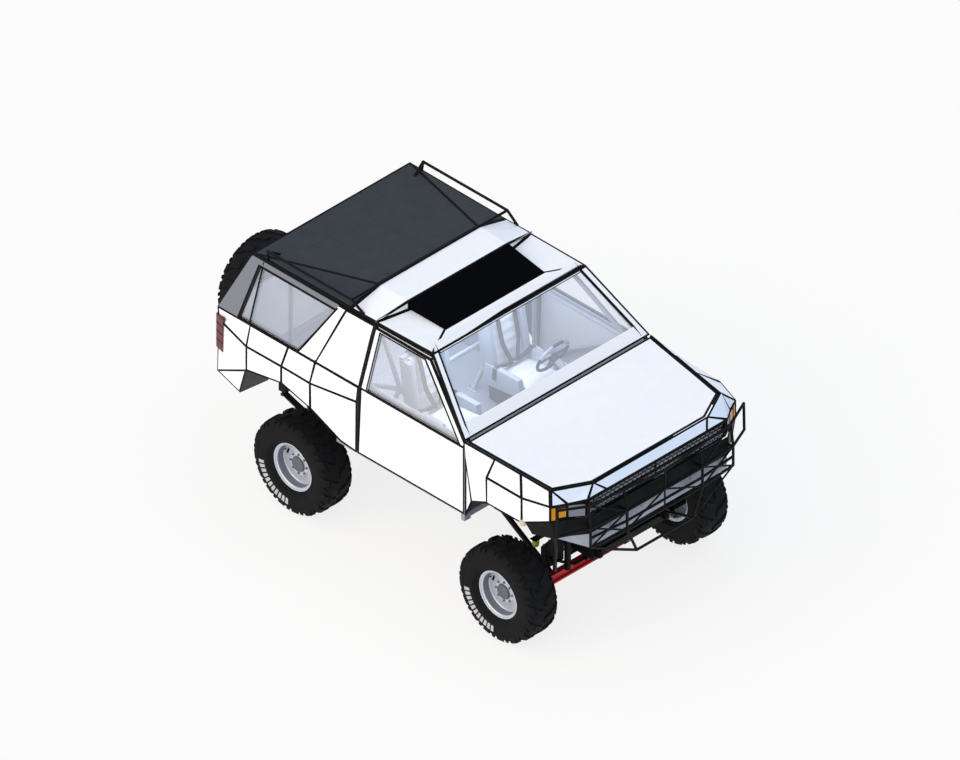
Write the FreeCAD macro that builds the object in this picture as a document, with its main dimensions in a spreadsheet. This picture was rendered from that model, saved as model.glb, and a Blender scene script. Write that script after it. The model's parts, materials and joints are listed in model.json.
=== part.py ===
"""Lifted two-door off-road 4x4 with a wide body, roll cage and spare wheel on its tail door.

Sizes are millimetres. While the pieces are shaped, X runs forward from the front axle, Y to the
vehicle's left and Z up from the ground. Each piece is then shifted along X, so that the stored
origin lies on the ground at the middle of the overall length.
"""
import FreeCAD, Part
import math
import os

import Sketcher
from FreeCAD import Placement, Rotation, Vector

SIZES = {
    # stance
    "wheelbase": 2660, "front_track": 2130, "rear_track": 1936,
    "bumper_reach": 902, "tail_overhang": 1288,
    # wheels
    "tyre_radius": 476.5, "tyre_width": 355, "tread_width": 300, "sidewall": 17, "tread_depth": 34,
    "bead_radius": 222, "flange_radius": 254, "flange_thick": 9, "rim_width": 270, "barrel_wall": 8,
    "dish_depth": 92, "disc_thick": 13, "hub_radius": 62, "hub_length": 65,
    "spindle_radius": 32, "bearing_gap": 0.05, "window_radius": 27, "window_circle": 142,
    "window_count": 8,
    # steering and front suspension
    "kingpin_half": 840, "kingpin_radius": 14, "kingpin_eye": 36, "beam_offset": 156,
    "beam_width": 60, "beam_depth": 100, "beam_web": 16, "beam_inner": 235, "brake_radius": 130,
    # frame
    "rail_inner": 380, "rail_width": 70, "rail_base": 700, "rail_height": 120,
    "cross_width": 80, "cross_height": 70,
    # rear suspension
    "axle_tube": 46, "diff_radius": 150, "spring_half": 560, "spring_width": 64, "leaf_thick": 11,
    "spring_reach": 640, "spring_camber": 120,
    # body shell
    "sill_height": 1094, "belt_height": 1812, "roof_height": 2431, "crown_height": 2524,
    "cowl_height": 1890, "belt_half": 1156, "roof_half": 970, "flare": 110, "crown_half": 622,
    "door_front": -450, "door_rear": -1765, "header_back": -1056, "header_half": 958,
    "wall_thick": 45, "skin_thick": 28, "shut_gap": 12, "glass_thick": 6,
    "floor_height": 1050, "floor_thick": 28,
    # tubes
    "cage_tube": 22, "bumper_tube": 13, "rail_tube": 13,
    # power unit
    "engine_length": 720, "engine_width": 560, "engine_height": 640,
    # tail door and spare wheel
    "spare_side": -309, "spare_height": 1515,
    # towing eyes
    "eye_bore": 14, "eye_thick": 20,
}

doc = FreeCAD.newDocument("off_road_4x4")
sheet = doc.addObject("Spreadsheet::Sheet", "Sizes")
for row, (alias, value) in enumerate(SIZES.items(), start=1):
    sheet.set(f"A{row}", alias)
    sheet.set(f"B{row}", str(value))
    sheet.setAlias(f"B{row}", alias)
doc.recompute()


class Named:
    """The sheet's values, read by name for the shapes that Part's functions make."""

    def __getattr__(self, alias):
        return float(sheet.get(alias))


size = Named()

# The overall length runs from the bumper's front to the spare tyre's back.
TO_MIDDLE = "(Sizes.wheelbase + Sizes.tail_overhang - Sizes.bumper_reach) / 2"
rear_axle = -size.wheelbase
pieces = []


# ---------------------------------------------------------------- shared makers

def keep(item, node):
    """Name a finished piece and list it for export."""
    item.Label = node
    pieces.append(item)
    return item


def place(item, node, across="0", up="0", along="0", turn=None):
    """Give a piece its node name and a place bound to the sheet."""
    item.Placement = Placement(Vector(0, 0, 0), turn or Rotation())
    item.setExpression("Placement.Base.x", f"{along} + {TO_MIDDLE}")
    item.setExpression("Placement.Base.y", across)
    item.setExpression("Placement.Base.z", up)
    return keep(item, node)


def feature(node, shape):
    """A piece whose shape Part's functions made from the sheet's values."""
    item = doc.addObject("Part::Feature", node)
    item.Shape = Part.makeCompound(shape.Solids)
    return place(item, node)


def mirrored_pair(stem, shape):
    """Left piece as made, right piece as its mirror image across the middle plane."""
    left = feature(f"{stem}_left", shape)
    right = doc.addObject("Part::Mirroring", f"{stem}_right")
    right.Source = left
    right.Normal = Vector(0, 1, 0)
    keep(right, f"{stem}_right")
    return left, right


def mirror(shape):
    """A shape's image on the other side of the vehicle."""
    return shape.mirror(Vector(0, 0, 0), Vector(0, 1, 0))


def both_sides(shape):
    """A shape and its mirror image as one compound."""
    return Part.makeCompound([shape, mirror(shape)])


def turned_pair(shape):
    """A shape and its copy half a turn round the vertical axis between the front wheels."""
    other = shape.copy()
    other.rotate(Vector(0, 0, 0), Vector(0, 0, 1), 180)
    return Part.makeCompound([shape, other])


def polygon(points):
    """A flat face through the points."""
    return Part.Face(Part.makePolygon([*points, points[0]]))


def flat(points):
    """Whether the points lie in one plane."""
    if len(points) < 4:
        return True
    normal = (points[1] - points[0]).cross(points[2] - points[0])
    normal.normalize()
    return all(abs((point - points[0]).dot(normal)) < 0.01 for point in points[3:])


def prism(points, sweep):
    """A flat outline swept along a vector."""
    return polygon([Vector(*point) for point in points]).extrude(Vector(*sweep))


def folded_sheet(corners, facets, inset):
    """A sheet of flat facets, named by their corners, with its thickness along one vector."""
    inset = Vector(*inset)
    corners = {name: Vector(*corner) for name, corner in corners.items()}
    loops = []
    for facet in facets:
        names = facet.split()
        if flat([corners[name] for name in names]):
            loops.append(names)
        else:
            loops += [[names[0], one, two] for one, two in zip(names[1:-1], names[2:])]
    edges = [(one, two) for names in loops for one, two in zip(names, names[1:] + names[:1])]
    rim = [(one, two) for one, two in edges if (two, one) not in edges]
    faces = [polygon([corners[name] for name in names]) for names in loops]
    faces += [polygon([corners[name] + inset for name in names]) for names in loops]
    faces += [polygon([corners[one], corners[two], corners[two] + inset, corners[one] + inset])
              for one, two in rim]
    return closed(faces)


def closed(faces):
    """The solid inside a set of flat faces."""
    shell = Part.Shell(faces)
    shell.sewShape()
    solid = Part.Solid(shell)
    if solid.Volume < 0:
        solid.reverse()
    return solid.removeSplitter()


def rod(start, end, radius):
    """A round bar between two points."""
    start, end = Vector(*start), Vector(*end)
    return Part.makeCylinder(radius, (end - start).Length, start, end - start)


def ball(centre, radius):
    """A round knot where bars meet."""
    return Part.makeSphere(radius, Vector(*centre))


def block(low, high):
    """A box between its lowest and highest corners."""
    low, high = Vector(*low), Vector(*high)
    span = high - low
    return Part.makeBox(span.x, span.y, span.z, low)


def welded(shapes):
    """Shapes joined into one, with the seams between their faces removed."""
    first, *others = shapes
    return first.fuse(others).removeSplitter() if others else first


def largest(shape):
    """The biggest solid of a shape, without the offcuts of a boolean operation."""
    return max(shape.Solids, key=lambda solid: solid.Volume)


def tube_frame(knots, runs, radius):
    """Bars along runs of named knots, with a round weld at each knot between two bars."""
    bars, used = [], {}
    for run in runs:
        names = run.split()
        for one, two in zip(names, names[1:]):
            bars.append(rod(knots[one], knots[two], radius))
            for name in (one, two):
                used[name] = used.get(name, 0) + 1
    bars += [ball(knots[name], radius) for name, count in used.items() if count > 1]
    return welded(bars)


def across_y(corners):
    """The same knots on the other side, with a dash after their names."""
    return {f"{name}-": (x, -y, z) for name, (x, y, z) in corners.items()}


def both_runs(runs):
    """Runs of left knots, followed by the same runs on the right."""
    return runs + [" ".join(f"{name}-" for name in run.split()) for run in runs]


def strip(path, width):
    """The outline of a band of even width along a path of plan points."""
    half = width / 2
    path = [Vector(x, y, 0) for x, y in path]
    ways = [(two - one).normalize() for one, two in zip(path, path[1:])]
    sides = [Vector(-way.y, way.x, 0) for way in ways]
    offsets = [sides[0]]
    for one, two in zip(sides, sides[1:]):
        middle = (one + two).normalize()
        offsets.append(middle * (1 / middle.dot(one)))
    offsets.append(sides[-1])
    left = [point + side * half for point, side in zip(path, offsets)]
    right = [point - side * half for point, side in zip(path, offsets)]
    return [(point.x, point.y) for point in left + right[::-1]]


def plan_block(outline, low, high):
    """A plan outline raised between two heights."""
    return prism([(x, y, low) for x, y in outline], (0, 0, high - low))


# ---------------------------------------------------------------- sketches

def origin_plane(body, role):
    """One of a body's own origin planes or axes."""
    return next(item for item in body.Origin.OriginFeatures if item.Role == role)


def sketch_on(body, role, name):
    """An empty sketch on one of the body's origin planes."""
    sketch = body.newObject("Sketcher::SketchObject", name)
    sketch.AttachmentSupport = [(origin_plane(body, role), "")]
    sketch.MapMode = "FlatFace"
    return sketch


def amount(expression):
    """The present value of an expression over the sheet."""
    value = sheet.evalExpression(expression.replace("Sizes.", ""))
    return float(getattr(value, "Value", value))


def bound(sketch, constraint, expression):
    """Add a constraint and tie its value to the sheet."""
    index = sketch.addConstraint(constraint)
    sketch.setExpression(f"Constraints[{index}]", expression)


def outline(sketch, corners):
    """A closed outline through corners, each given as a pair of expressions."""
    points = [Vector(amount(across), amount(up), 0) for across, up in corners]
    count = len(points)
    for index, point in enumerate(points):
        sketch.addGeometry(Part.LineSegment(point, points[(index + 1) % count]), False)
    for index, (across, up) in enumerate(corners):
        following = (index + 1) % count
        sketch.addConstraint(Sketcher.Constraint("Coincident", index, 2, following, 1))
        bound(sketch, Sketcher.Constraint("DistanceX", -1, 1, index, 1, points[index].x), across)
        bound(sketch, Sketcher.Constraint("DistanceY", -1, 1, index, 1, points[index].y), up)


def turned_body(name, corners):
    """A body of revolution about its Y axis, from an outline of (along axis, radius) pairs."""
    body = doc.addObject("PartDesign::Body", name)
    sketch = sketch_on(body, "XY_Plane", f"{name}_profile")
    outline(sketch, [(radius, along) for along, radius in corners])
    turned = body.newObject("PartDesign::Revolution", f"{name}_turned")
    turned.Profile = sketch
    turned.ReferenceAxis = (sketch, ["V_Axis"])
    turned.Angle = 360
    sketch.Visibility = False
    return body


# ---------------------------------------------------------------- wheels

# Outline of half a tyre: (share of half width, radius), from the inner bead round to the outer one.
TREAD = "Sizes.tread_width / 2"
SECTION = "Sizes.tyre_width / 2"
SEAT = "(Sizes.rim_width / 2 - Sizes.flange_thick)"
TYRE_OUTSIDE = [
    # along the axle, radius
    (SEAT, "Sizes.bead_radius"),
    (SEAT, "Sizes.flange_radius"),
    (f"{SECTION} - 8", "Sizes.flange_radius + 34"),
    (SECTION, "Sizes.flange_radius + 84"),
    (f"{SECTION} - 3", "Sizes.tyre_radius - 74"),
    (f"{TREAD} + 14", "Sizes.tyre_radius - 26"),
    (TREAD, "Sizes.tyre_radius - 8"),
    (f"{TREAD} - 26", "Sizes.tyre_radius"),
]
TYRE_INSIDE = [
    (f"{TREAD} - 30", "Sizes.tyre_radius - Sizes.tread_depth"),
    (f"{SECTION} - Sizes.sidewall - 6", "Sizes.tyre_radius - 84"),
    (f"{SECTION} - Sizes.sidewall", "Sizes.flange_radius + 84"),
    (f"{SEAT} - Sizes.sidewall", "Sizes.flange_radius + 4"),
    (f"{SEAT} - Sizes.sidewall - 10", "Sizes.bead_radius"),
]


def tyre_body(name):
    """A hollow tyre: an outer skin, a thick tread, thin sidewalls and two beads."""
    near = [(f"-({along})", radius) for along, radius in TYRE_OUTSIDE]
    far = [(along, radius) for along, radius in reversed(TYRE_OUTSIDE)]
    back = [(along, radius) for along, radius in reversed(TYRE_INSIDE)]
    home = [(f"-({along})", radius) for along, radius in TYRE_INSIDE]
    return turned_body(name, near + far + back + home)


def rim_body(name):
    """A deep-dish rim: barrel with two flanges, a pierced disc and a blind hub bore."""
    half = "Sizes.rim_width / 2"
    barrel = "(Sizes.bead_radius - Sizes.barrel_wall)"
    face = f"(-{half} + Sizes.dish_depth)"
    back = f"(-{half} + Sizes.dish_depth + Sizes.disc_thick)"
    mouth = f"({face} + Sizes.hub_length - 30)"
    cap = f"({face} - 30)"
    bore = "(Sizes.spindle_radius + Sizes.bearing_gap)"
    body = turned_body(name, [
        (f"-{half}", barrel),
        (f"-{half}", "Sizes.flange_radius"),
        (f"-{SEAT}", "Sizes.flange_radius"),
        (f"-{SEAT}", "Sizes.bead_radius"),
        (SEAT, "Sizes.bead_radius"),
        (SEAT, "Sizes.flange_radius"),
        (half, "Sizes.flange_radius"),
        (half, barrel),
        (f"{back} + 22", barrel),
        (back, f"{barrel} - 26"),
        (back, "Sizes.hub_radius"),
        (mouth, "Sizes.hub_radius"),
        (mouth, bore),
        (f"{face} - 8", bore),
        (f"{face} - 8", "0"),
        (cap, "0"),
        (cap, "Sizes.hub_radius - 16"),
        (face, "Sizes.hub_radius"),
        (face, f"{barrel} - 34"),
        (f"{face} - 26", barrel),
    ])
    sketch = sketch_on(body, "XZ_Plane", f"{name}_window")
    ring = amount("Sizes.window_circle")
    circle = Part.Circle(Vector(ring, 0, 0), Vector(0, 0, 1), amount("Sizes.window_radius"))
    sketch.addGeometry(circle, False)
    bound(sketch, Sketcher.Constraint("DistanceX", -1, 1, 0, 3, ring), "Sizes.window_circle")
    sketch.addConstraint(Sketcher.Constraint("PointOnObject", 0, 3, -1))
    bound(sketch, Sketcher.Constraint("Radius", 0, circle.Radius), "Sizes.window_radius")
    cut = body.newObject("PartDesign::Pocket", f"{name}_cut")
    cut.Profile = sketch
    cut.Midplane = True
    cut.setExpression("Length", "Sizes.rim_width")
    pattern = body.newObject("PartDesign::PolarPattern", f"{name}_windows")
    pattern.Originals = [cut]
    pattern.Axis = (origin_plane(body, "Y_Axis"), [""])
    pattern.Angle = 360
    pattern.Occurrences = int(size.window_count)
    body.Tip = pattern
    return body


OUTWARD_LEFT = Rotation(Vector(0, 0, 1), 180)
OUTWARD_BACK = Rotation(Vector(0, 0, 1), -90)
AXLE_UP = "Sizes.tyre_radius"
CORNERS = [
    # corner, place along, place across, turn of the outer side
    ("front_right", "0", "-Sizes.front_track / 2", Rotation()),
    ("front_left", "0", "Sizes.front_track / 2", OUTWARD_LEFT),
    ("rear_right", "-Sizes.wheelbase", "-Sizes.rear_track / 2", Rotation()),
    ("rear_left", "-Sizes.wheelbase", "Sizes.rear_track / 2", OUTWARD_LEFT),
]
for corner, along, across, turn in CORNERS:
    place(tyre_body(f"tyre_{corner}"), f"tyre_{corner}", across, AXLE_UP, along, turn)
    place(rim_body(f"rim_{corner}"), f"rim_{corner}", across, AXLE_UP, along, turn)

SPARE_ALONG = "-Sizes.wheelbase - Sizes.tail_overhang + Sizes.tyre_width / 2"
for maker, node in ((tyre_body, "spare_tyre"), (rim_body, "spare_rim")):
    place(maker(node), node, "Sizes.spare_side", "Sizes.spare_height", SPARE_ALONG, OUTWARD_BACK)


# ---------------------------------------------------------------- steering knuckles

axle_height = size.tyre_radius
hub_face = size.rim_width / 2 - size.dish_depth - size.hub_length + 30
hub_floor = size.rim_width / 2 - size.dish_depth + 8
SPINDLE_END_GAP = 4
BRAKE_GAP = 8


def spindle(centre, from_y):
    """A stub axle from an inner face out to just short of the rim's blind bore."""
    end = centre + hub_floor - SPINDLE_END_GAP
    return rod((0, from_y, axle_height), (0, end, axle_height), size.spindle_radius)


def knuckle():
    """A left knuckle: fork round the beam's eye, kingpin, brake, stub axle and steering arm."""
    pin, eye = size.kingpin_half, size.kingpin_eye
    wheel = size.front_track / 2
    reach, half_width, arm = 62, 38, 26
    plate_in, plate_out = pin + eye + 8, pin + eye + 28
    parts = [
        rod((0, pin, axle_height - reach - arm), (0, pin, axle_height + reach + arm),
            size.kingpin_radius),
        block((-45, plate_in, axle_height - reach - arm), (45, plate_out, axle_height + reach + arm)),
        rod((0, plate_out, axle_height), (0, wheel + hub_face - BRAKE_GAP, axle_height),
            size.brake_radius),
        spindle(wheel, plate_out),
    ]
    for level in (axle_height + reach, axle_height - reach - arm):
        parts.append(block((-half_width, pin - half_width, level),
                           (half_width, plate_in, level + arm)))
    arm_path = [(30, plate_in + 10), (120, pin + 26), (190, pin - 4)]
    lever = plan_block(strip(arm_path, 34), axle_height - reach - arm, axle_height - reach)
    eye_hole = rod((178, pin, 0), (178, pin, 2 * axle_height), 9)
    return welded([*parts, lever]).cut(eye_hole)


left_knuckle = knuckle()
feature("knuckle_left", left_knuckle)
right_knuckle = left_knuckle.copy()
right_knuckle.rotate(Vector(0, 0, 0), Vector(0, 0, 1), 180)
feature("knuckle_right", right_knuckle)


# ---------------------------------------------------------------- front suspension

def front_beam():
    """A left I-beam behind the axle line, from its pivot past the middle out to the kingpin eye."""
    back, pin = -size.beam_offset, size.kingpin_half
    path = [(back, -size.beam_inner), (back, pin - 140), (-6, pin - 4)]
    low, high = axle_height - size.beam_depth / 2, axle_height + size.beam_depth / 2
    flange = 16
    reach = 56
    body = welded([
        plan_block(strip(path, size.beam_width), low, low + flange),
        plan_block(strip(path, size.beam_width), high - flange, high),
        plan_block(strip(path, size.beam_web), low, high),
        rod((back - 30, -size.beam_inner, axle_height), (back + 30, -size.beam_inner, axle_height), 46),
        rod((0, pin, axle_height - reach), (0, pin, axle_height + reach), size.kingpin_eye),
    ])
    hole = size.kingpin_radius + size.bearing_gap
    return body.cut(rod((0, pin, 0), (0, pin, 2 * axle_height), hole))


beams = turned_pair(front_beam())
feature("front_axle_beams", beams)

rail_top = size.rail_base + size.rail_height
rail_middle = size.rail_inner + size.rail_width / 2
frame_front, frame_back = 450, rear_axle - 860
spring_low = axle_height + size.axle_tube + 14
spring_end = spring_low + 4 * size.leaf_thick + size.spring_camber
shock_top = Vector(-90, 560, 1470)
arm_back, arm_radius = -760, 26


def shackle_x():
    """Where each rear spring meets its hangers."""
    return rear_axle - size.spring_reach, rear_axle + size.spring_reach


def frame():
    """Two box rails, cross members, spring hangers, pivots, shock towers and body mounts."""
    low, high = size.rail_base, rail_top
    shapes = [both_sides(block((frame_back, size.rail_inner, low),
                               (frame_front, size.rail_inner + size.rail_width, high)))]
    half = size.cross_width / 2
    for x in (frame_front - half, size.beam_offset, -size.beam_offset, -1130, rear_axle + 760,
              frame_back + half):
        shapes.append(block((x - half, -size.rail_inner, low),
                            (x + half, size.rail_inner, low + size.cross_height)))
    pivot, ear, hole = size.beam_offset, 14, 46
    for side in (1, -1):
        for face in (-30 - ear, 30):
            shapes.append(block((side * pivot + face, side * size.beam_inner - hole,
                                 axle_height - hole),
                                (side * pivot + face + ear, side * size.beam_inner + hole,
                                 low + half)))
    hanger_low = spring_end + size.leaf_thick + 8
    for x in shackle_x():
        shapes.append(both_sides(block((x - half, rail_middle, hanger_low),
                                       (x + half, size.spring_half + size.spring_width / 2, high))))
    for x in (-560, -1700, rear_axle - 700):
        shapes.append(both_sides(rod((x, rail_middle, high),
                                     (x, rail_middle, size.floor_height - size.floor_thick), 40)))
    shapes.append(both_sides(block((arm_back - 40, rail_middle - 30, low - 62),
                                   (arm_back + 40, rail_middle + 30, low))))
    tower = [rod((foot, rail_middle + 10, high - 30), shock_top, 22)
             for foot in (shock_top.x - 160, shock_top.x + 160)]
    shapes.append(turned_pair(welded([*tower, ball(shock_top, 30)])))
    return welded([solid for shape in shapes for solid in shape.Solids])


frame_shape = frame()


def towing_eyes(body):
    """Add a drilled lug at the front end and the back end of each rail."""
    radius, half, reach, level = 40, size.eye_thick / 2, 34, size.rail_base + 70
    for x, way in ((frame_front, 1), (frame_back, -1)):
        for side in (rail_middle, -rail_middle):
            centre = (x + way * reach, side, level)
            low, high = sorted((x - way * 10, centre[0]))
            near, far = Vector(*centre), Vector(*centre)
            near.y, far.y = side - half, side + half
            lug = [rod(near, far, radius),
                   block((low, near.y, level - radius), (high, far.y, level + radius))]
            body = body.fuse(lug).cut(rod(near, far, size.eye_bore))
    return body.removeSplitter()


frame_shape = towing_eyes(frame_shape)
feature("frame_rails", frame_shape)


def radius_arm(side):
    """An arm from the end of one beam back to its bracket under the frame rail."""
    start = (-side * size.beam_offset - 20, side * (size.kingpin_half - 200), axle_height)
    bar = rod(start, (arm_back, side * rail_middle, size.rail_base - 30), arm_radius)
    return largest(bar.cut(beams).cut(frame_shape))


feature("radius_arms", Part.makeCompound([radius_arm(1), radius_arm(-1)]))


def front_shock():
    """A left shock with its spring body, rod and lower eye, from the beam up to its tower."""
    foot = Vector(-size.beam_offset, 640, axle_height + size.beam_depth / 2 - 6)
    way = shock_top - foot
    return welded([rod(foot, foot + way * 0.45, 20), rod(foot + way * 0.36, foot + way * 0.94, 42),
                   rod(foot + way * 0.9, shock_top, 18)])


front_shocks = turned_pair(front_shock()).cut(beams).cut(frame_shape)
feature("front_shocks", Part.makeCompound([solid for solid in front_shocks.Solids
                                           if solid.Volume > 1e5]))


# ---------------------------------------------------------------- rear suspension and drive

def rear_axle_shape():
    """A live axle: tube, round differential housing, spring seats, brakes and stub axles."""
    wheel = size.rear_track / 2
    brake_in = wheel - 70
    shapes = [
        Part.makeSphere(size.diff_radius, Vector(0, 0, axle_height)),
        rod((-175, 0, axle_height), (190, 0, axle_height), 88),
        rod((190, 0, axle_height), (235, 0, axle_height), 52),
    ]
    for side in (1, -1):
        shapes += [
            rod((0, 0, axle_height), (0, side * brake_in, axle_height), size.axle_tube),
            rod((0, side * brake_in, axle_height),
                (0, side * (wheel + hub_face - BRAKE_GAP), axle_height), size.brake_radius),
            rod((0, side * brake_in, axle_height),
                (0, side * (wheel + hub_floor - SPINDLE_END_GAP), axle_height),
                size.spindle_radius),
            block((-70, side * size.spring_half - 36, axle_height),
                  (70, side * size.spring_half + 36, spring_low)),
            block((-120, side * 700 - 14, axle_height - 30), (0, side * 700 + 14, axle_height + 70)),
        ]
    shape = welded(shapes)
    shape.translate(Vector(rear_axle, 0, 0))
    return shape


rear_axle_solid = rear_axle_shape()
feature("rear_axle", rear_axle_solid)


def leaf(index, half_length):
    """One curved leaf of a left spring, drawn as two arcs and swept across its width."""
    rise = size.spring_camber
    bend = (size.spring_reach ** 2 + rise ** 2) / (2 * rise)
    main_low = spring_low + 3 * size.leaf_thick
    centre = main_low + bend
    outer = bend + index * size.leaf_thick
    inner = outer - size.leaf_thick

    def at(radius, reach):
        angle = math.asin(reach / bend)
        return Vector(rear_axle + radius * math.sin(angle), 0, centre - radius * math.cos(angle))

    low = Part.Arc(at(outer, -half_length), at(outer, 0), at(outer, half_length)).toShape()
    high = Part.Arc(at(inner, half_length), at(inner, 0), at(inner, -half_length)).toShape()
    ends = [Part.makeLine(at(outer, half_length), at(inner, half_length)),
            Part.makeLine(at(inner, -half_length), at(outer, -half_length))]
    face = Part.Face(Part.Wire([low, ends[0], high, ends[1]]))
    solid = face.extrude(Vector(0, size.spring_width, 0))
    solid.translate(Vector(0, size.spring_half - size.spring_width / 2, 0))
    return solid


def leaf_spring():
    """A left pack of four leaves with an eye at each end of the longest."""
    lengths = [size.spring_reach, 480, 330, 190]
    leaves = [leaf(index, half) for index, half in enumerate(lengths)]
    low, high = size.spring_half - size.spring_width / 2, size.spring_half + size.spring_width / 2
    for x in shackle_x():
        level = spring_end - 10
        leaves.append(rod((x, low, level), (x, high, level), 18))
    return welded(leaves)


springs = both_sides(leaf_spring()).cut(frame_shape).cut(rear_axle_solid)
feature("leaf_springs", Part.makeCompound(springs.Solids))


def rear_shock():
    """A left rear shock leaning forward from the axle bracket to the floor."""
    foot = Vector(rear_axle - 60, 700, axle_height + 84)
    top = Vector(rear_axle - 330, 640, size.floor_height - size.floor_thick + 10)
    way = top - foot
    return welded([rod(foot, foot + way * 0.5, 18), rod(foot + way * 0.42, top, 32),
                   ball(foot, 24)])


def drive_shaft():
    """A tube from the gearbox's output back to the differential's nose."""
    start = Vector(gearbox_back - 40, 0, gearbox_middle)
    end = Vector(rear_axle + 275, 0, axle_height + 6)
    return welded([rod(start, end, 36), ball(start, 52), ball(end, 46)])


engine_low = size.rail_base + size.cross_height
engine_back, gearbox_back = size.door_front + 30, size.door_front - 690
gearbox_middle = engine_low + 110


def bound_box(node, corner, spans):
    """A Part::Box with its corner and its spans bound to the sheet."""
    box = doc.addObject("Part::Box", node)
    for side, expression in zip(("Length", "Width", "Height"), spans):
        box.setExpression(side, expression)
    return place(box, node, corner[1], corner[2], corner[0])


bound_box("engine_block",
          ("(Sizes.door_front + 30)", "-Sizes.engine_width / 2",
           "Sizes.rail_base + Sizes.cross_height"),
          ("Sizes.engine_length", "Sizes.engine_width", "Sizes.engine_height"))

gearbox = welded([
    block((engine_back - 190, -170, engine_low), (engine_back, 170, engine_low + 230)),
    block((gearbox_back, -105, engine_low), (engine_back - 190, 105, engine_low + 200)),
])
feature("gearbox", gearbox)
shaft = drive_shaft().cut(gearbox).cut(rear_axle_solid)
feature("drive_shaft", largest(shaft))


# ---------------------------------------------------------------- floor and inner body

belt, sill, roof = size.belt_height, size.sill_height, size.roof_height
floor, under = size.floor_height, size.floor_height - size.floor_thick
wall_in = size.belt_half - size.wall_thick
firewall = size.door_front - 50
tail = rear_axle - 888
arch_top = belt - 330
gap = size.shut_gap
half_gap = gap / 2
door_low, tail_door_low = sill + 4, sill + 30

# Pivot pins stand this far in from a door's outer face and from its hinged edge.
pivot_in, pivot_radius, pivot_reach = 16, 9, 70
pivot_x, pivot_y = size.door_front - gap - pivot_in, size.belt_half - pivot_in
tail_half = size.belt_half - 18 - size.wall_thick - gap


def wall_y(height):
    """Distance of the body's outer wall from the middle plane at a height."""
    slope = (size.belt_half - size.roof_half) / (roof - belt)
    return size.belt_half - max(0, height - belt) * slope


def floor_shape():
    """The floor pan, front bulkhead, wheel boxes, tail sill and inner wheel arches."""
    side, box_in, plate = wall_in - 24, 760, 20
    front = firewall
    arch_front, arch_back = rear_axle + 560, tail + 60
    shapes = [
        block((arch_front, -side, under), (front, side, floor)),
        block((arch_back, -box_in, under), (arch_front, box_in, floor)),
        block((front, -side, under), (front + plate, side, size.cowl_height - 44)),
    ]
    wheel_box = welded([
        block((arch_back, box_in - plate, floor), (arch_front, box_in, arch_top)),
        block((arch_back, box_in - plate, arch_top - plate), (arch_front, side, arch_top)),
        block((arch_front - plate, box_in - plate, under), (arch_front + plate, side, floor)),
        block((arch_front - plate, box_in - plate, under), (arch_front, side, arch_top)),
    ])
    shapes += [wheel_box, mirror(wheel_box)]
    tail_sill = block((tail + 2, -side, under), (tail + 80, side, tail_door_low - gap))
    pin = Vector(tail + pivot_in, -(tail_half - pivot_in), tail_door_low - gap - 20)
    shapes += [tail_sill, Part.makeCylinder(pivot_radius, pivot_reach, pin)]
    for y in (pivot_y, -pivot_y):
        low, high = sorted((y + math.copysign(14, y), math.copysign(side - 10, y)))
        shapes.append(block((pivot_x - 22, low, under), (pivot_x + 22, high, door_low - 10)))
        shapes.append(Part.makeCylinder(pivot_radius, pivot_reach,
                                        Vector(pivot_x, y, door_low - 30)))
    return welded(shapes)


floor_tub = floor_shape()
feature("floor_tub", floor_tub)
shocks = both_sides(rear_shock()).cut(rear_axle_solid).cut(floor_tub)
feature("rear_shocks", Part.makeCompound([solid for solid in shocks.Solids
                                          if solid.Volume > 1e5]))

# Knots of the left half of the cage: name, place.
cage_low, cage_top = floor, roof - 78
cage_out, cage_in = wall_in - 50, size.roof_half - 92
hoop = size.door_rear - 36
rear_hoop = rear_axle - 240
KNOTS = {
    "front_foot": (firewall - 70, cage_out, cage_low),
    "front_belt": (firewall - 110, cage_out, belt - 12),
    "front_top": (size.header_back - 96, cage_in, cage_top),
    "hoop_foot": (hoop, cage_out, cage_low),
    "hoop_belt": (hoop, cage_out, belt - 12),
    "hoop_top": (hoop, cage_in, cage_top),
    "rear_top": (rear_hoop, cage_in, cage_top),
    "rear_foot": (rear_hoop, cage_in, arch_top),
    "star": (hoop, 614, belt - 302),
    "rear_star": (hoop - 520, 614, belt + 250),
    "hoop_low": (hoop, 300, cage_low),
    "stay_foot": (rear_axle - 520, 640, cage_low),
}
CAGE_RUNS = [
    "front_foot front_belt front_top hoop_top rear_top rear_foot",
    "hoop_foot hoop_belt hoop_top",
    "front_belt hoop_belt",
    "front_belt hoop_foot",
    "star hoop_top", "star hoop_belt", "star hoop_foot", "star hoop_low",
    "rear_star hoop_top", "rear_star hoop_belt", "rear_star rear_top", "rear_star rear_foot",
    "rear_star stay_foot",
]
CROSS_RUNS = [
    "front_top front_top-", "hoop_top hoop_top-", "rear_top rear_top-", "star star-",
    "star hoop_top-", "star- hoop_top", "rear_star rear_star-",
]
knots = {**KNOTS, **across_y(KNOTS)}
cage = tube_frame(knots, both_runs(CAGE_RUNS) + CROSS_RUNS, size.cage_tube)
cage = cage.cut(floor_tub)
feature("roll_cage", largest(cage))


# ---------------------------------------------------------------- seats and controls

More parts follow.
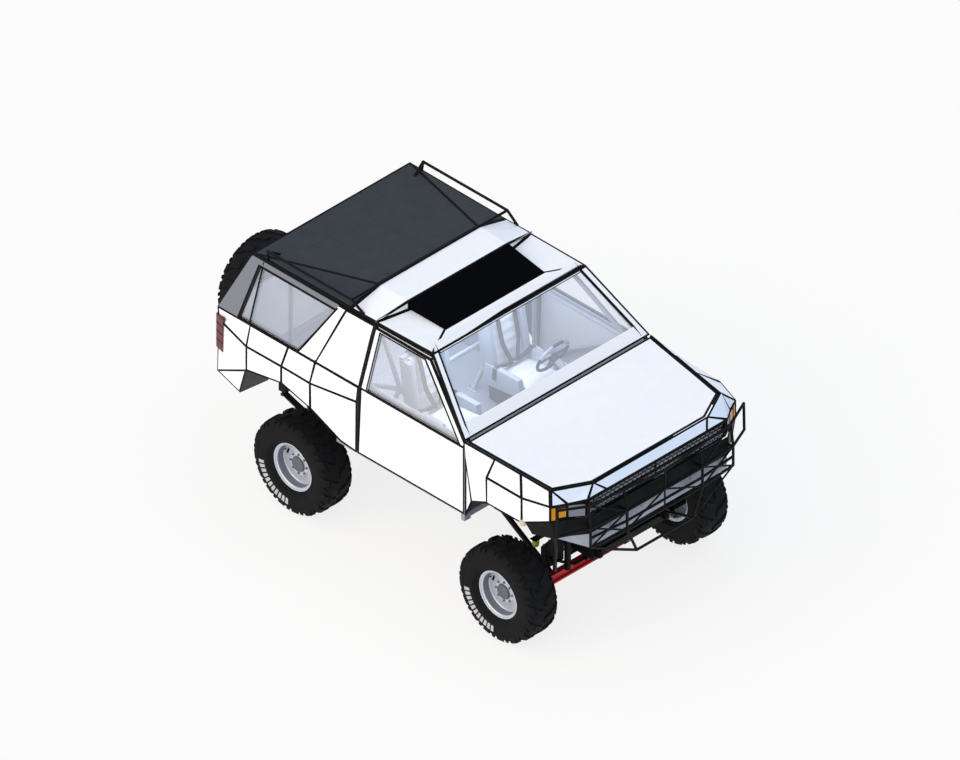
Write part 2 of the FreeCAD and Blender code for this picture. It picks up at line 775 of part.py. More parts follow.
def seat(side):
    """A bucket seat: base, cushion, back with side bolsters and head rest, seen from the side."""
    front, back, half = -1120, -1600, 250

    def slab(profile, width, middle=side):
        """One part of the seat, from its side view above the floor, centred across."""
        return prism([(x, middle - width / 2, floor + z) for x, z in profile], (0, width, 0))

    bolster = [(front - 20, 330), (back + 30, 330), (back + 30, 440), (front - 60, 450)]
    return welded([
        slab([(front, 240), (back - 40, 190), (back - 40, 330), (front, 390)], 2 * half),
        slab([(back - 40, 190), (back - 130, 900), (back - 20, 900), (back + 80, 340)],
             2 * half - 40),
        slab([(back - 130, 900), (back - 150, 1110), (back - 50, 1110), (back - 20, 900)], 260),
        slab([(front - 60, 0), (front - 60, 260), (back, 260), (back, 0)], 2 * half - 80),
        slab(bolster, 60, side - half + 30),
        slab(bolster, 60, side + half - 30),
    ])


seat_side = 480
feature("seats", Part.makeCompound([seat(seat_side), seat(-seat_side)]).cut(cage))

column_foot = Vector(firewall - 190, seat_side, belt - 210)
column_top = Vector(firewall - 430, seat_side, belt - 110)
column_way = (column_top - column_foot).normalize()
stub_radius = 12


def dashboard():
    """The dash pad across the cab, with the steering column below it."""
    side = cage_out - 34
    profile = [(firewall, belt - 330), (firewall - 150, belt - 330), (firewall - 260, belt - 160),
               (firewall - 250, belt - 40), (firewall, belt + 20)]
    pad = prism([(x, -side, z) for x, z in profile], (0, 2 * side, 0))
    column = rod(column_foot, column_top, 34)
    return welded([pad, column])


socket = Part.makeCylinder(stub_radius + size.bearing_gap, 30, column_top - column_way * 24,
                           column_way)
dash = dashboard().cut(cage).cut(socket)
feature("dashboard", largest(dash))


def steering_wheel():
    """A rim, a boss and three spokes on the column's end."""
    start = column_top + column_way * 6
    boss = Part.makeCylinder(42, 46, start, column_way)
    ring_centre = start + column_way * 60
    ring = Part.makeTorus(178, 15, ring_centre, column_way)
    cap = Part.makeCylinder(50, 20, start + column_way * 40, column_way)
    level = Vector(0, 1, 0)
    down = column_way.cross(level).normalize()
    spokes = [rod(ring_centre, ring_centre + way * 178, 11)
              for way in (level, level * -1, down * (1 if down.z < 0 else -1))]
    stub = Part.makeCylinder(stub_radius, 40, column_top - column_way * 20, column_way)
    return welded([boss, ring, cap, *spokes, stub])


feature("steering_wheel", steering_wheel())


# ---------------------------------------------------------------- body: glass frames and roof

flare_half = size.belt_half + size.flare


def pillar_x(height):
    """The windscreen's side edge at a height."""
    share = (height - size.cowl_height) / (roof + 9 - size.cowl_height)
    return size.door_front - 1 + share * (size.header_back - size.door_front + 1)


SCREEN = {
    "low": Vector(size.door_front - 1, size.belt_half, size.cowl_height),
    "high": Vector(size.header_back, size.header_half, roof + 9),
}
screen_up = (SCREEN["high"] - SCREEN["low"])
screen_inward = Vector(-(roof + 9 - size.cowl_height), 0, size.header_back - size.door_front + 1)
screen_inward.normalize()


def screen_outline(side_low, side_high, end, depth):
    """The windscreen's four corners, drawn in from its frame and down from its surface."""
    points = []
    for share, y in ((end, SCREEN["low"].y - side_low), (1 - end, SCREEN["high"].y - side_high)):
        base = SCREEN["low"] + screen_up * share + screen_inward * depth
        points.append((base.x, y, base.z))
    (low_x, low_y, low_z), (high_x, high_y, high_z) = points
    return [(low_x, -low_y, low_z), (low_x, low_y, low_z),
            (high_x, high_y, high_z), (high_x, -high_y, high_z)]


frame_thick = 24
screen_hole = (84, 76, 0.035)
outer = prism(screen_outline(0, 0, 0, 0), screen_inward * frame_thick)
hole = prism(screen_outline(*screen_hole, -2), screen_inward * (frame_thick + 4))
cowl = block((firewall - 10, -(wall_in - 26), size.cowl_height - 44),
             (size.door_front - 2, wall_in - 26, size.cowl_height - 12))
hood_pivot = (size.door_front + 32, size.cowl_height - 28)
hood_pin, hood_eye = 6, 12


def hood_hinge(side):
    """A bracket on the cowl with the pin that carries one hood hinge."""
    x, z = hood_pivot
    ear = block((size.door_front - 6, side - 38, z - 16), (x + 6, side - 26, z - 6))
    return [ear, rod((x, side - 38, z), (x, side - 26, z), hood_pin + 3),
            rod((x, side - 30, z), (x, side + 16, z), hood_pin)]


hinge_sides = (700, -700)
hinges = [shape for side in hinge_sides for shape in hood_hinge(side)]
screen_frame = welded([outer.cut(hole), cowl.cut(outer), *hinges])
feature("windscreen_frame", screen_frame)
glass_depth = (frame_thick - size.glass_thick) / 2
feature("windscreen_glass", prism(screen_outline(*screen_hole, glass_depth),
                                  screen_inward * size.glass_thick))

skin = size.skin_thick
scoop_front, scoop_back = size.header_back - 182, size.header_back - 627
roof_split = size.header_back - 1000
deck = roof + 9


def front_roof():
    """The fixed roof: a flat skin with a raised deck behind the scoop."""
    corners = {
        "h": (size.header_back, size.header_half, deck), "r": (roof_split, size.roof_half, roof),
    }
    base = folded_sheet({**corners, **across_y(corners)}, ["h- r- r h"], (0, 0, -skin))
    half, high, shoulder = size.crown_half, size.crown_height, scoop_back - 64
    raised = {
        "a": (scoop_back, half, high), "b": (roof_split, half, high),
        "c": (roof_split, size.roof_half, roof), "d": (shoulder, size.roof_half, roof + 6),
        "e": (scoop_back, half, deck - 10), "f": (roof_split, half, roof - 10),
        "g": (roof_split, size.roof_half, roof - 10), "i": (shoulder, size.roof_half, roof - 10),
    }
    raised.update(across_y(raised))
    names = ["a- a b b-", "b c d", "b d a", "c- b- d-", "d- b- a-", "a- e- e a", "b b- f- f",
             "b f g c", "b- c- g- f-", "d i e a", "a- e- i- d-", "c g i d", "d- i- g- c-",
             "e e- f- f", "e f g i", "e- i- g- f-"]
    faces = []
    for name in names:
        points = [Vector(*raised[key]) for key in name.split()]
        if flat(points):
            faces.append(polygon(points))
        else:
            faces += [polygon([points[0], one, two]) for one, two in zip(points[1:-1], points[2:])]
    return base.fuse(closed(faces)).removeSplitter()


roof_panel = front_roof().cut(screen_frame)
feature("front_roof", largest(roof_panel))
scoop = prism([(scoop_front, -size.crown_half, deck + 1), (scoop_back, -size.crown_half, deck + 1),
               (scoop_back, -size.crown_half, size.crown_height)], (0, 2 * size.crown_half, 0))
feature("roof_scoop", scoop.cut(roof_panel))

tail_top = rear_axle - 614
rear_gap = 6
rear_corners = {
    "f1": (roof_split - rear_gap, -size.crown_half, size.crown_height),
    "f2": (roof_split - rear_gap, size.crown_half, size.crown_height),
    "s1": (roof_split - rear_gap, -size.roof_half, roof),
    "s2": (roof_split - rear_gap, size.roof_half, roof),
    "b1": (tail_top, -size.roof_half - 10, roof), "b2": (tail_top, size.roof_half + 10, roof),
}
rear_roof = folded_sheet(rear_corners, ["f1 b1 b2 f2", "f2 b2 s2", "s1 b1 f1"], (0, 0, -skin))
feature("rear_roof", rear_roof)


def roof_rails():
    """Two raised tubes over the rear roof, joined across the front and braced at the back."""
    front, back = roof_split + 9, rear_axle - 438
    high = size.crown_height + 4
    corners = {
        "front": (front, size.roof_half, high), "back": (back, size.roof_half, high),
        "foot": (front + 141, size.roof_half - 12, roof + 8),
        "brace": (back + 20, size.roof_half - 130, roof + 12),
        "tail": (back - 6, size.roof_half - 12, roof - 2),
    }
    runs = ["foot front back", "back brace", "back tail"]
    rails = tube_frame({**corners, **across_y(corners)},
                       both_runs(runs) + ["front front-"], size.rail_tube)
    return rails.cut(roof_panel).cut(rear_roof)


rails = roof_rails()
feature("roof_rails", largest(rails))


# ---------------------------------------------------------------- body: sides

seat_of_roof = roof - skin


def upper_wall(outline_xz, thick):
    """A left panel in the sloping upper wall: its outline in X and Z, swept inwards."""
    return prism([(x, wall_y(z), z) for x, z in outline_xz], (0, -thick, 0))


def side_window(outline_xz):
    """A cutter through the whole upper wall."""
    return prism([(x, size.belt_half + 200, z) for x, z in outline_xz], (0, -500, 0))


def line_x(points, height):
    """X where a straight line of two (x, z) points crosses a height."""
    (low_x, low_z), (high_x, high_z) = points
    return low_x + (high_x - low_x) * (height - low_z) / (high_z - low_z)


# The shut line between door and quarter panel: (x, z) at the sill, the belt and the roof.
SHUT_LOW = [(size.door_rear - 33, sill), (size.door_rear, belt)]
SHUT_HIGH = [(size.door_rear, belt), (size.door_rear + 18, roof)]
door_top = seat_of_roof - gap
side_glass_low, side_glass_high = belt + 8, roof - 76
door_edge = 49


def door_shape():
    """A left door: flat below the belt, leaning in above it, with its window cut."""
    thick = size.wall_thick
    front = size.door_front - gap
    low, window_back = door_low, size.door_rear + 85
    lower = prism([(front, size.belt_half, low), (front, size.belt_half, belt),
                   (line_x(SHUT_LOW, belt) + half_gap, size.belt_half, belt),
                   (line_x(SHUT_LOW, low) + half_gap, size.belt_half, low)], (0, -thick, 0))
    shoulder = size.cowl_height - 34
    upper = upper_wall([(front, belt), (front, shoulder),
                        (pillar_x(door_top) - door_edge, door_top),
                        (line_x(SHUT_HIGH, door_top) + half_gap, door_top),
                        (line_x(SHUT_HIGH, belt) + half_gap, belt)], thick)
    window = door_window(window_back)
    bore = rod((pivot_x, pivot_y, low - 1), (pivot_x, pivot_y, low + pivot_reach),
               pivot_radius + size.bearing_gap)
    return welded([lower, upper]).cut(side_window(window)).cut(bore), window


def door_window(back):
    """The door window's outline in X and Z."""
    slope = (size.header_back - size.door_front) / (roof + 9 - size.cowl_height)
    low_front = size.door_front - 78
    return [(back, side_glass_low), (low_front, side_glass_low),
            (low_front + slope * (side_glass_high - side_glass_low), side_glass_high),
            (back + 11, side_glass_high)]


def pane(outline_xz):
    """Glass standing in the middle of the upper wall's thickness."""
    inset = (size.wall_thick - size.glass_thick) / 2
    glass = prism([(x, wall_y(z), z) for x, z in outline_xz], (0, -size.glass_thick, 0))
    glass.translate(Vector(0, -inset, 0))
    return glass


left_door, door_hole = door_shape()
mirrored_pair("door", left_door)
mirrored_pair("door_glass", pane(door_hole))

QUARTER = {
    # belt line
    "b4": (size.door_rear - half_gap, size.belt_half, belt),
    "b3": (rear_axle + 339, size.belt_half, belt), "b2": (rear_axle + 4, size.belt_half, belt),
    "b1": (rear_axle - 473, size.belt_half, belt), "b0": (tail + 9, size.belt_half, belt - 3),
    # shoulder crease
    "n4": (line_x(SHUT_LOW, belt - 153) - half_gap, size.belt_half + 18, belt - 153),
    "n3": (rear_axle + 383, flare_half, belt - 153),
    "n2": (rear_axle + 21, flare_half - 4, belt - 153),
    "n1": (rear_axle - 411, flare_half, belt - 153), "n0": (tail, size.belt_half - 18, belt - 153),
    # wheel arch and lower edge
    "q3": (rear_axle + 383, flare_half, belt - 423),
    "q2": (rear_axle + 21, flare_half - 4, belt - 336),
    "q1": (rear_axle - 411, flare_half, belt - 412),
    "w": (rear_axle + 695, size.belt_half + 44, belt - 656),
    "d": (size.door_rear - 33 - half_gap, size.belt_half, sill + 2),
    "m": (tail, size.belt_half - 6, belt - 704),
    "t": (rear_axle - 614, size.belt_half - 18, belt - 815),
}
QUARTER_FACETS = ["b4 n4 n3 b3", "b3 n3 n2 b2", "b2 n2 n1 b1", "b1 n1 n0 b0", "n4 q3 n3",
                  "n4 w q3", "n4 d w", "n3 q3 q2 n2", "n2 q2 q1 n1", "n1 q1 m n0", "m q1 t"]
TAIL_LINE = [(tail + 9, belt - 3), (tail_top, roof)]
GLASS_FRONT = [(rear_axle + 105, belt), (rear_axle + 478, roof - 6)]
GLASS_BACK = [(rear_axle - 612, belt), (rear_axle - 508, roof - 87)]
pillar_split = 18


def quarter_window(low, high):
    """The quarter window's outline in X and Z between two heights."""
    return [(line_x(GLASS_BACK, low), low), (line_x(GLASS_FRONT, low), low),
            (line_x(GLASS_FRONT, high), high), (line_x(GLASS_BACK, high), high)]


def quarter_shape():
    """A left quarter panel's flared facets and window wall, with the panes beside and behind."""
    thick = size.wall_thick
    lower = folded_sheet(QUARTER, QUARTER_FACETS, (0, -thick, 0))
    top = seat_of_roof
    upper = upper_wall([(line_x(SHUT_HIGH, belt) - half_gap, belt),
                        (line_x(SHUT_HIGH, top) - half_gap, top),
                        (line_x(GLASS_BACK, top) - pillar_split, top),
                        (line_x(GLASS_BACK, belt) - pillar_split, belt)], thick)
    hole = quarter_window(side_glass_low, side_glass_high)
    corner = upper_wall([(line_x(GLASS_BACK, belt) - pillar_split, belt),
                         (line_x(GLASS_BACK, top) - pillar_split, top),
                         (line_x(TAIL_LINE, top), top), (line_x(TAIL_LINE, belt), belt)],
                        2 * size.glass_thick)
    return lower, upper.cut(side_window(hole)), corner, hole


lower_quarter, upper_quarter, corner_pane, quarter_hole = quarter_shape()
quarter = welded([lower_quarter, upper_quarter])
mirrored_pair("quarter_panel", quarter)
feature("corner_windows", both_sides(corner_pane.cut(quarter)))
feature("quarter_windows", both_sides(pane(quarter_hole)))


# ---------------------------------------------------------------- body: front

FENDER = {
    # edge against the hood
    "c": (size.door_front, size.belt_half, size.cowl_height),
    "hu": (-106, size.belt_half - 35, belt + 46), "gu": (186, size.belt_half - 65, belt + 19),
    "a": (520, size.belt_half - 99, belt - 12),
    # crease
    "i": (size.door_front, size.belt_half, belt - 88), "hh": (-83, flare_half - 10, belt - 82),
    "g": (348, flare_half - 17, belt - 91), "f": (621, size.belt_half + 3, belt - 96),
    # arch and lower edge
    "j": (-83, flare_half - 10, belt - 352), "k": (348, flare_half - 17, belt - 356),
    "l": (621, size.belt_half + 3, belt - 259), "w": (-368, size.belt_half, belt - 535),
    "v": (size.door_front, size.belt_half, sill + 4),
}
FENDER_FACETS = ["c i hh hu", "hu hh g gu", "gu g a", "a g f", "g k l f", "hh j k g",
                 "i j hh", "i w j", "i v w"]
fender_inset = (0, -14, -22)
left_fender = folded_sheet(FENDER, FENDER_FACETS, fender_inset)
mirrored_pair("front_fender", left_fender)
fenders = both_sides(left_fender)

NOSE = {
    "a": FENDER["a"], "f": FENDER["f"],
    "b": (703, size.belt_half - 446, belt - 9), "c": (803, size.belt_half - 282, belt - 69),
    "d": (794, size.belt_half - 535, belt - 81),
    "e": (695, size.belt_half - 141, belt - 100),
}
NOSE.update(across_y(NOSE))
NOSE_FACETS = ["a f e", "a e c b", "b c d", "b d d- b-", "e- f- a-", "b- c- e- a-", "d- c- b-"]
nose = folded_sheet(NOSE, NOSE_FACETS, (0, 0, -20)).cut(fenders)
nose_panel = largest(nose)
feature("nose_panel", nose_panel)

hood_gap = 17
HOOD_LINE = [
    # x, half width, height
    (size.door_front + 22, size.belt_half - hood_gap - 6, size.cowl_height - 2),
    (-106, FENDER["hu"][1] - hood_gap, belt + 46),
    (186, FENDER["gu"][1] - hood_gap, belt + 19),
    (514, FENDER["a"][1] - hood_gap - 4, belt - 12),
    (690, size.belt_half - 452, belt - 9),
]


def hood_sheet(edge_in, ends_in, top, thick):
    """A hood skin drawn in from the outline, between two depths."""
    corners, names = {}, []
    last = len(HOOD_LINE) - 1
    for index, (x, half, height) in enumerate(HOOD_LINE):
        x += ends_in if index == 0 else -ends_in if index == last else 0
        corners[f"l{index}"] = (x, half - edge_in, height - top)
        corners[f"r{index}"] = (x, -(half - edge_in), height - top)
        if index:
            names.append(f"l{index - 1} l{index} r{index} r{index - 1}")
    return folded_sheet(corners, names, (0, 0, -thick))


hood_skin = 12
hood = welded([hood_sheet(0, 0, 0, hood_skin), hood_sheet(70, 60, hood_skin - 1, 18)])
hood_x, hood_z = hood_pivot
eyes = []
for side in hinge_sides:
    eyes.append(rod((hood_x, side - 18, hood_z), (hood_x, side + 18, hood_z), hood_eye))
    eyes.append(block((hood_x, side - 18, hood_z), (hood_x + 60, side + 18, hood_z + 18)))
hood = welded([hood, *eyes])
for side in hinge_sides:
    hood = hood.cut(rod((hood_x, side - 40, hood_z), (hood_x, side + 40, hood_z),
                        hood_pin + size.bearing_gap))
feature("hood", hood)

# Lamp and grille faces in plan: outer and inner corners of each along the front.
lamp_low, lamp_high = belt - 259, belt - 104
front_plan = [FENDER["f"][:2], NOSE["e"][:2], NOSE["c"][:2], (803, 0)]


def front_block(start, end, low, high, depth, inset=0):
    """An upright block along one stretch of the front plan, set back from its line."""
    start, end = Vector(*start, 0), Vector(*end, 0)
    way = (end - start).normalize()
    back = Vector(-1, 0, 0)
    start, end = start + way * 4 + back * inset, end - way * 4 + back * inset
    points = [start, end, end + back * depth, start + back * depth]
    return plan_block([(point.x, point.y) for point in points], low, high)


lamp_depth = 60
corner_lamp = front_block(front_plan[0], front_plan[1], lamp_low, lamp_high, lamp_depth, 8)
headlamp = front_block(front_plan[1], front_plan[2], lamp_low, lamp_high, lamp_depth, 8)
feature("corner_lamps", both_sides(corner_lamp).cut(fenders).cut(nose_panel))
feature("headlamps", both_sides(headlamp).cut(nose_panel))


def grille():
    """A dark frame with level bars across the front, and the panel behind the lamps."""
    half, face = front_plan[2][1] - 6, front_plan[2][0] - 14
    low, high, depth = lamp_low, lamp_high + 22, 60
    shape = block((face - depth, -half, low), (face, half, high))
    rows = 5
    pitch = (high - low - 30) / rows
    for row in range(rows):
        base = low + 16 + row * pitch
        for start, end in ((-half + 20, -14), (14, half - 20)):
            shape = shape.cut(block((face - 34, start, base), (face + 1, end, base + pitch - 16)))
    return shape


grille_shape = grille().cut(nose_panel)
feature("grille", grille_shape)


def valance_shape():
    """The black sheet below the lamps, wrapped round each corner."""
    line = {
        "k": (392, flare_half - 31, belt - 341), "l": (621, size.belt_half + 3, belt - 262),
        "e": (700, size.belt_half - 141, belt - 262), "c": (808, size.belt_half - 282, belt - 262),
        "k0": (420, size.belt_half + 21, belt - 480), "l0": (621, size.belt_half - 40, belt - 462),
        "e0": (712, size.belt_half - 156, belt - 440), "c0": (820, size.belt_half - 290, belt - 429),
    }
    line.update(across_y(line))
    facets = ["k k0 l0 l", "l l0 e0 e", "e e0 c0 c", "c c0 c0- c-",
              "l- l0- k0- k-", "e- e0- l0- l-", "c- c0- e0- e-"]
    return folded_sheet(line, facets, (-14, 0, 0))


def bumper_tubes():
    """Slim tubes in front of the nose: level bars, uprights, end hoops and a low hoop."""
    front, side, corner = (size.bumper_reach - size.bumper_tube, size.belt_half + 8,
                           size.belt_half - 266)
    corners = {
        "side": (710, side, belt - 88), "side_low": (716, side, belt - 369),
        "end": (822, corner, belt - 120), "middle": (front, 0, belt - 142),
        "hoop": (front, 351, belt - 825),
        "stay": (frame_front - 20, rail_middle, rail_top - 20),
    }
    runs = ["side end middle", "side side_low", "hoop stay"]
    bars = (belt - 343, belt - 451, belt - 549)
    for number, height in enumerate(bars):
        corners[f"end{number}"] = (852, corner, height)
        corners[f"bar{number}"] = (front, 470, height)
    corners.update(tab=(800, corner - 16, bars[0]), inner_tab=(800, 470, bars[0]))
    cross = [f"bar{number} bar{number}-" for number in range(len(bars))]
    runs += [f"end{number} bar{number}" for number in range(len(bars))]
    runs += ["end end0 end1 end2", "side_low end0 tab", "inner_tab bar0 bar1 bar2 hoop"]
    return tube_frame({**corners, **across_y(corners)}, both_runs(runs) + cross + ["hoop hoop-"],
                      size.bumper_tube)


valance = valance_shape().cut(fenders)
tubes = bumper_tubes().cut(frame_shape)
bumper = welded([largest(valance), largest(tubes)])
feature("front_bumper", bumper.cut(nose_panel).cut(grille_shape))

SKID = {
    "a": (806, size.belt_half - 300, belt - 430), "b": (806, size.belt_half - 300, belt - 590),
    "c": (450, size.belt_half - 40, belt - 490), "d": (470, 460, belt - 800),
}
SKID.update(across_y(SKID))
skid = folded_sheet(SKID, ["a b b- a-", "b d d- b-", "a c b", "b c d", "b- c- a-", "d- c- b-"],
                    (-12, 0, 8))
feature("skid_plate", largest(skid.cut(bumper)))

# ---------------------------------------------------------------- tail

tail_high = seat_of_roof - gap


def tail_outline(low, high, inset):
    """The tail door's outline in Y and Z between two heights, narrower by an inset."""
    def side(height):
        return tail_half - (size.belt_half - wall_y(height)) - inset
    levels = [low, belt, high] if low < belt else [low, high]
    return [(-side(level), level) for level in reversed(levels)] + [
        (side(level), level) for level in levels]


def tail_shape(face_in, thick, low, high, inset):
    """The tail's folded wall within an outline: upright below the belt, leaning forward above."""
    folded = [(tail, sill), (tail + 9, belt - 3), (tail_top, roof)]
    outer = [(x + face_in, z) for x, z in folded]
    inner = [(x + face_in + thick, z) for x, z in reversed(folded)]
    wall = prism([(x, -size.belt_half, z) for x, z in outer + inner], (0, 2 * size.belt_half, 0))
    mask = prism([(tail - 100, y, z) for y, z in tail_outline(low, high, inset)], (900, 0, 0))
    return wall.common(mask)


def tail_door():
    """The tail door with its window cut and the spare wheel's carrier."""
    thick = size.wall_thick
    shape = tail_shape(0, thick, tail_door_low, tail_high, 0)
    pin = (tail + pivot_in, -(tail_half - pivot_in))
    shape = shape.cut(rod((*pin, tail_door_low - 1), (*pin, tail_door_low + pivot_reach),
                          pivot_radius + size.bearing_gap))
    window = tail_shape(-60, thick + 120, belt + 40, roof - 96, 90)
    spare_x = rear_axle - size.tail_overhang + size.tyre_width / 2
    hub_x = spare_x - hub_face
    end_x = spare_x - hub_floor + SPINDLE_END_GAP
    centre = (size.spare_side, size.spare_height)
    carrier = [rod((hub_x, *centre), (tail + 6, *centre), size.hub_radius - 12),
               rod((end_x, *centre), (tail, *centre), size.spindle_radius),
               rod((tail - 12, *centre), (tail + 6, *centre), 170)]
    return welded([shape.cut(window), *carrier])


feature("tail_door", tail_door())
feature("tail_glass", tail_shape((size.wall_thick - size.glass_thick) / 2, size.glass_thick,
                                 belt + 40, roof - 96, 90))
lamp_plan = [(tail - 14, size.belt_half - 56), (tail - 14, size.belt_half - 8),
             (tail + 95, size.belt_half + 20), (tail + 95, size.belt_half - 30),
             (tail, size.belt_half - 56)]
lamp = plan_block(lamp_plan, belt - 452, belt - 92).cut(quarter)
feature("tail_lamps", both_sides(largest(lamp)))


# ---------------------------------------------------------------- check and export

doc.recompute()
for item in doc.Objects:
    if {"Invalid", "Error"} & set(item.State):
        raise RuntimeError(f"{item.Label} did not build: {item.State}")
for item in pieces:
    if item.Shape.isNull() or not item.Shape.isValid() or not item.Shape.Solids:
        raise RuntimeError(f"{item.Label} is not a valid solid")
os.makedirs("parts", exist_ok=True)
for item in pieces:
    item.Shape.exportStep(f"parts/{item.Label}.step")
    box = item.Shape.BoundBox
    print(f"{item.Label:20s} solids {len(item.Shape.Solids):2d}  volume {item.Shape.Volume / 1e9:.4f} m3"
          f"  x {box.XMin:.0f}..{box.XMax:.0f}  y {box.YMin:.0f}..{box.YMax:.0f}"
          f"  z {box.ZMin:.0f}..{box.ZMax:.0f}")
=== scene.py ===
"""Looks for a lifted two-door off-road 4x4: paint, seams, tyres, lamps, glass, seats and running gear.

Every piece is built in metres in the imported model's own frame: X forward, Y to the vehicle's left,
Z up from the ground.
"""
from __future__ import annotations

import json
import logging
from collections.abc import Callable, Iterable, Sequence
from dataclasses import dataclass, field
from enum import Enum
from math import cos, exp, pi, radians, sin

import bmesh
import bpy
from bmesh.types import BMEdge, BMesh, BMFace, BMVert
from bpy.types import Material, Mesh, Node, NodeSocket, NodeTree, Object
from mathutils import Matrix, Vector
from mathutils.bvhtree import BVHTree

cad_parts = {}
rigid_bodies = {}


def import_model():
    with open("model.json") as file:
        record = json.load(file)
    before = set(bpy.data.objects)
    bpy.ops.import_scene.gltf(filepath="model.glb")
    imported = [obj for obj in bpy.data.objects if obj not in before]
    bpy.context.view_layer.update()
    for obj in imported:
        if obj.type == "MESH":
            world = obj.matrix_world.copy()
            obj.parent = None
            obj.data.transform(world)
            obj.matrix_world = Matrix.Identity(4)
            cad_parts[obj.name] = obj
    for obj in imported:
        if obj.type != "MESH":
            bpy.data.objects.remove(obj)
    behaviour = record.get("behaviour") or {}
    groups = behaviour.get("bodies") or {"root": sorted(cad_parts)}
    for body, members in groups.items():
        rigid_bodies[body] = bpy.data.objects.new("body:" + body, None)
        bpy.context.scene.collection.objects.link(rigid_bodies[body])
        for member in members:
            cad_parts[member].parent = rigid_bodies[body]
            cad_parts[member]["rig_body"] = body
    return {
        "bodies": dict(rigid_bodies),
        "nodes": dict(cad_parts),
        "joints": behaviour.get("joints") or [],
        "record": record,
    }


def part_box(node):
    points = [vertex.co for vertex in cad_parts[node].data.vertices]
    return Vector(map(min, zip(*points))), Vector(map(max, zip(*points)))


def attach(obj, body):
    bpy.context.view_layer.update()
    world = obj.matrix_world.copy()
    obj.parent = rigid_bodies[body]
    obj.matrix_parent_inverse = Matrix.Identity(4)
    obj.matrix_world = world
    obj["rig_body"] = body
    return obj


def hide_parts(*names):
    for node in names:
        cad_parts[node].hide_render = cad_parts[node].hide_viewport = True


log = logging.getLogger("off_road_4x4")

RIGHT, LEFT = -1, 1
SIDES = {"right": RIGHT, "left": LEFT}

# A point or a direction: three numbers or a vector.
Point = Sequence[float]
ORIGIN, UP = Vector((0, 0, 0)), Vector((0, 0, 1))


# ---------------------------------------------------------------- colour and nodes

def linear(code: str) -> tuple[float, float, float, float]:
    """Turn an sRGB hex value into the linear colour that shaders take.

    Args:
        code: Six hex digits with a leading hash.

    Returns:
        Red, green, blue and an alpha of one.
    """
    parts = [int(code[i:i + 2], 16) / 255 for i in (1, 3, 5)]
    red, green, blue = (p / 12.92 if p <= 0.04045 else ((p + 0.055) / 1.055) ** 2.4 for p in parts)
    return red, green, blue, 1.0


def add_node(tree: NodeTree, kind: str, settings: dict[str, object] | None = None,
             inputs: dict[str | int, object] | None = None) -> Node:
    """Add a node with its settings, and set or link its inputs.

    Args:
        tree: Shader or geometry tree that gets the node.
        kind: Blender's name for the node's type.
        settings: Properties of the node itself.
        inputs: Values by socket name or place; a socket, or a node's first output, is linked.

    Returns:
        The new node.
    """
    node = tree.nodes.new(kind)
    for name, value in (settings or {}).items():
        setattr(node, name, value)
    for key, value in (inputs or {}).items():
        if isinstance(value, Node):
            value = value.outputs[0]
        if isinstance(value, NodeSocket):
            tree.links.new(value, node.inputs[key])
        else:
            node.inputs[key].default_value = value
    return node


# ---------------------------------------------------------------- finishes

class Grain(Enum):
    """How a surface was made, which decides the pattern it carries."""

    SPRAYED = "sprayed and cured, with a faint orange peel"
    CAST = "cast or moulded with a fine pebble"
    BRUSHED = "brushed or turned in one direction"
    RUBBER = "moulded rubber with dust in its low places"
    WOVEN = "woven yarn, crossing at right angles"
    LENS = "moulded lens with flutes"
    SMOOTH = "polished or drawn smooth"


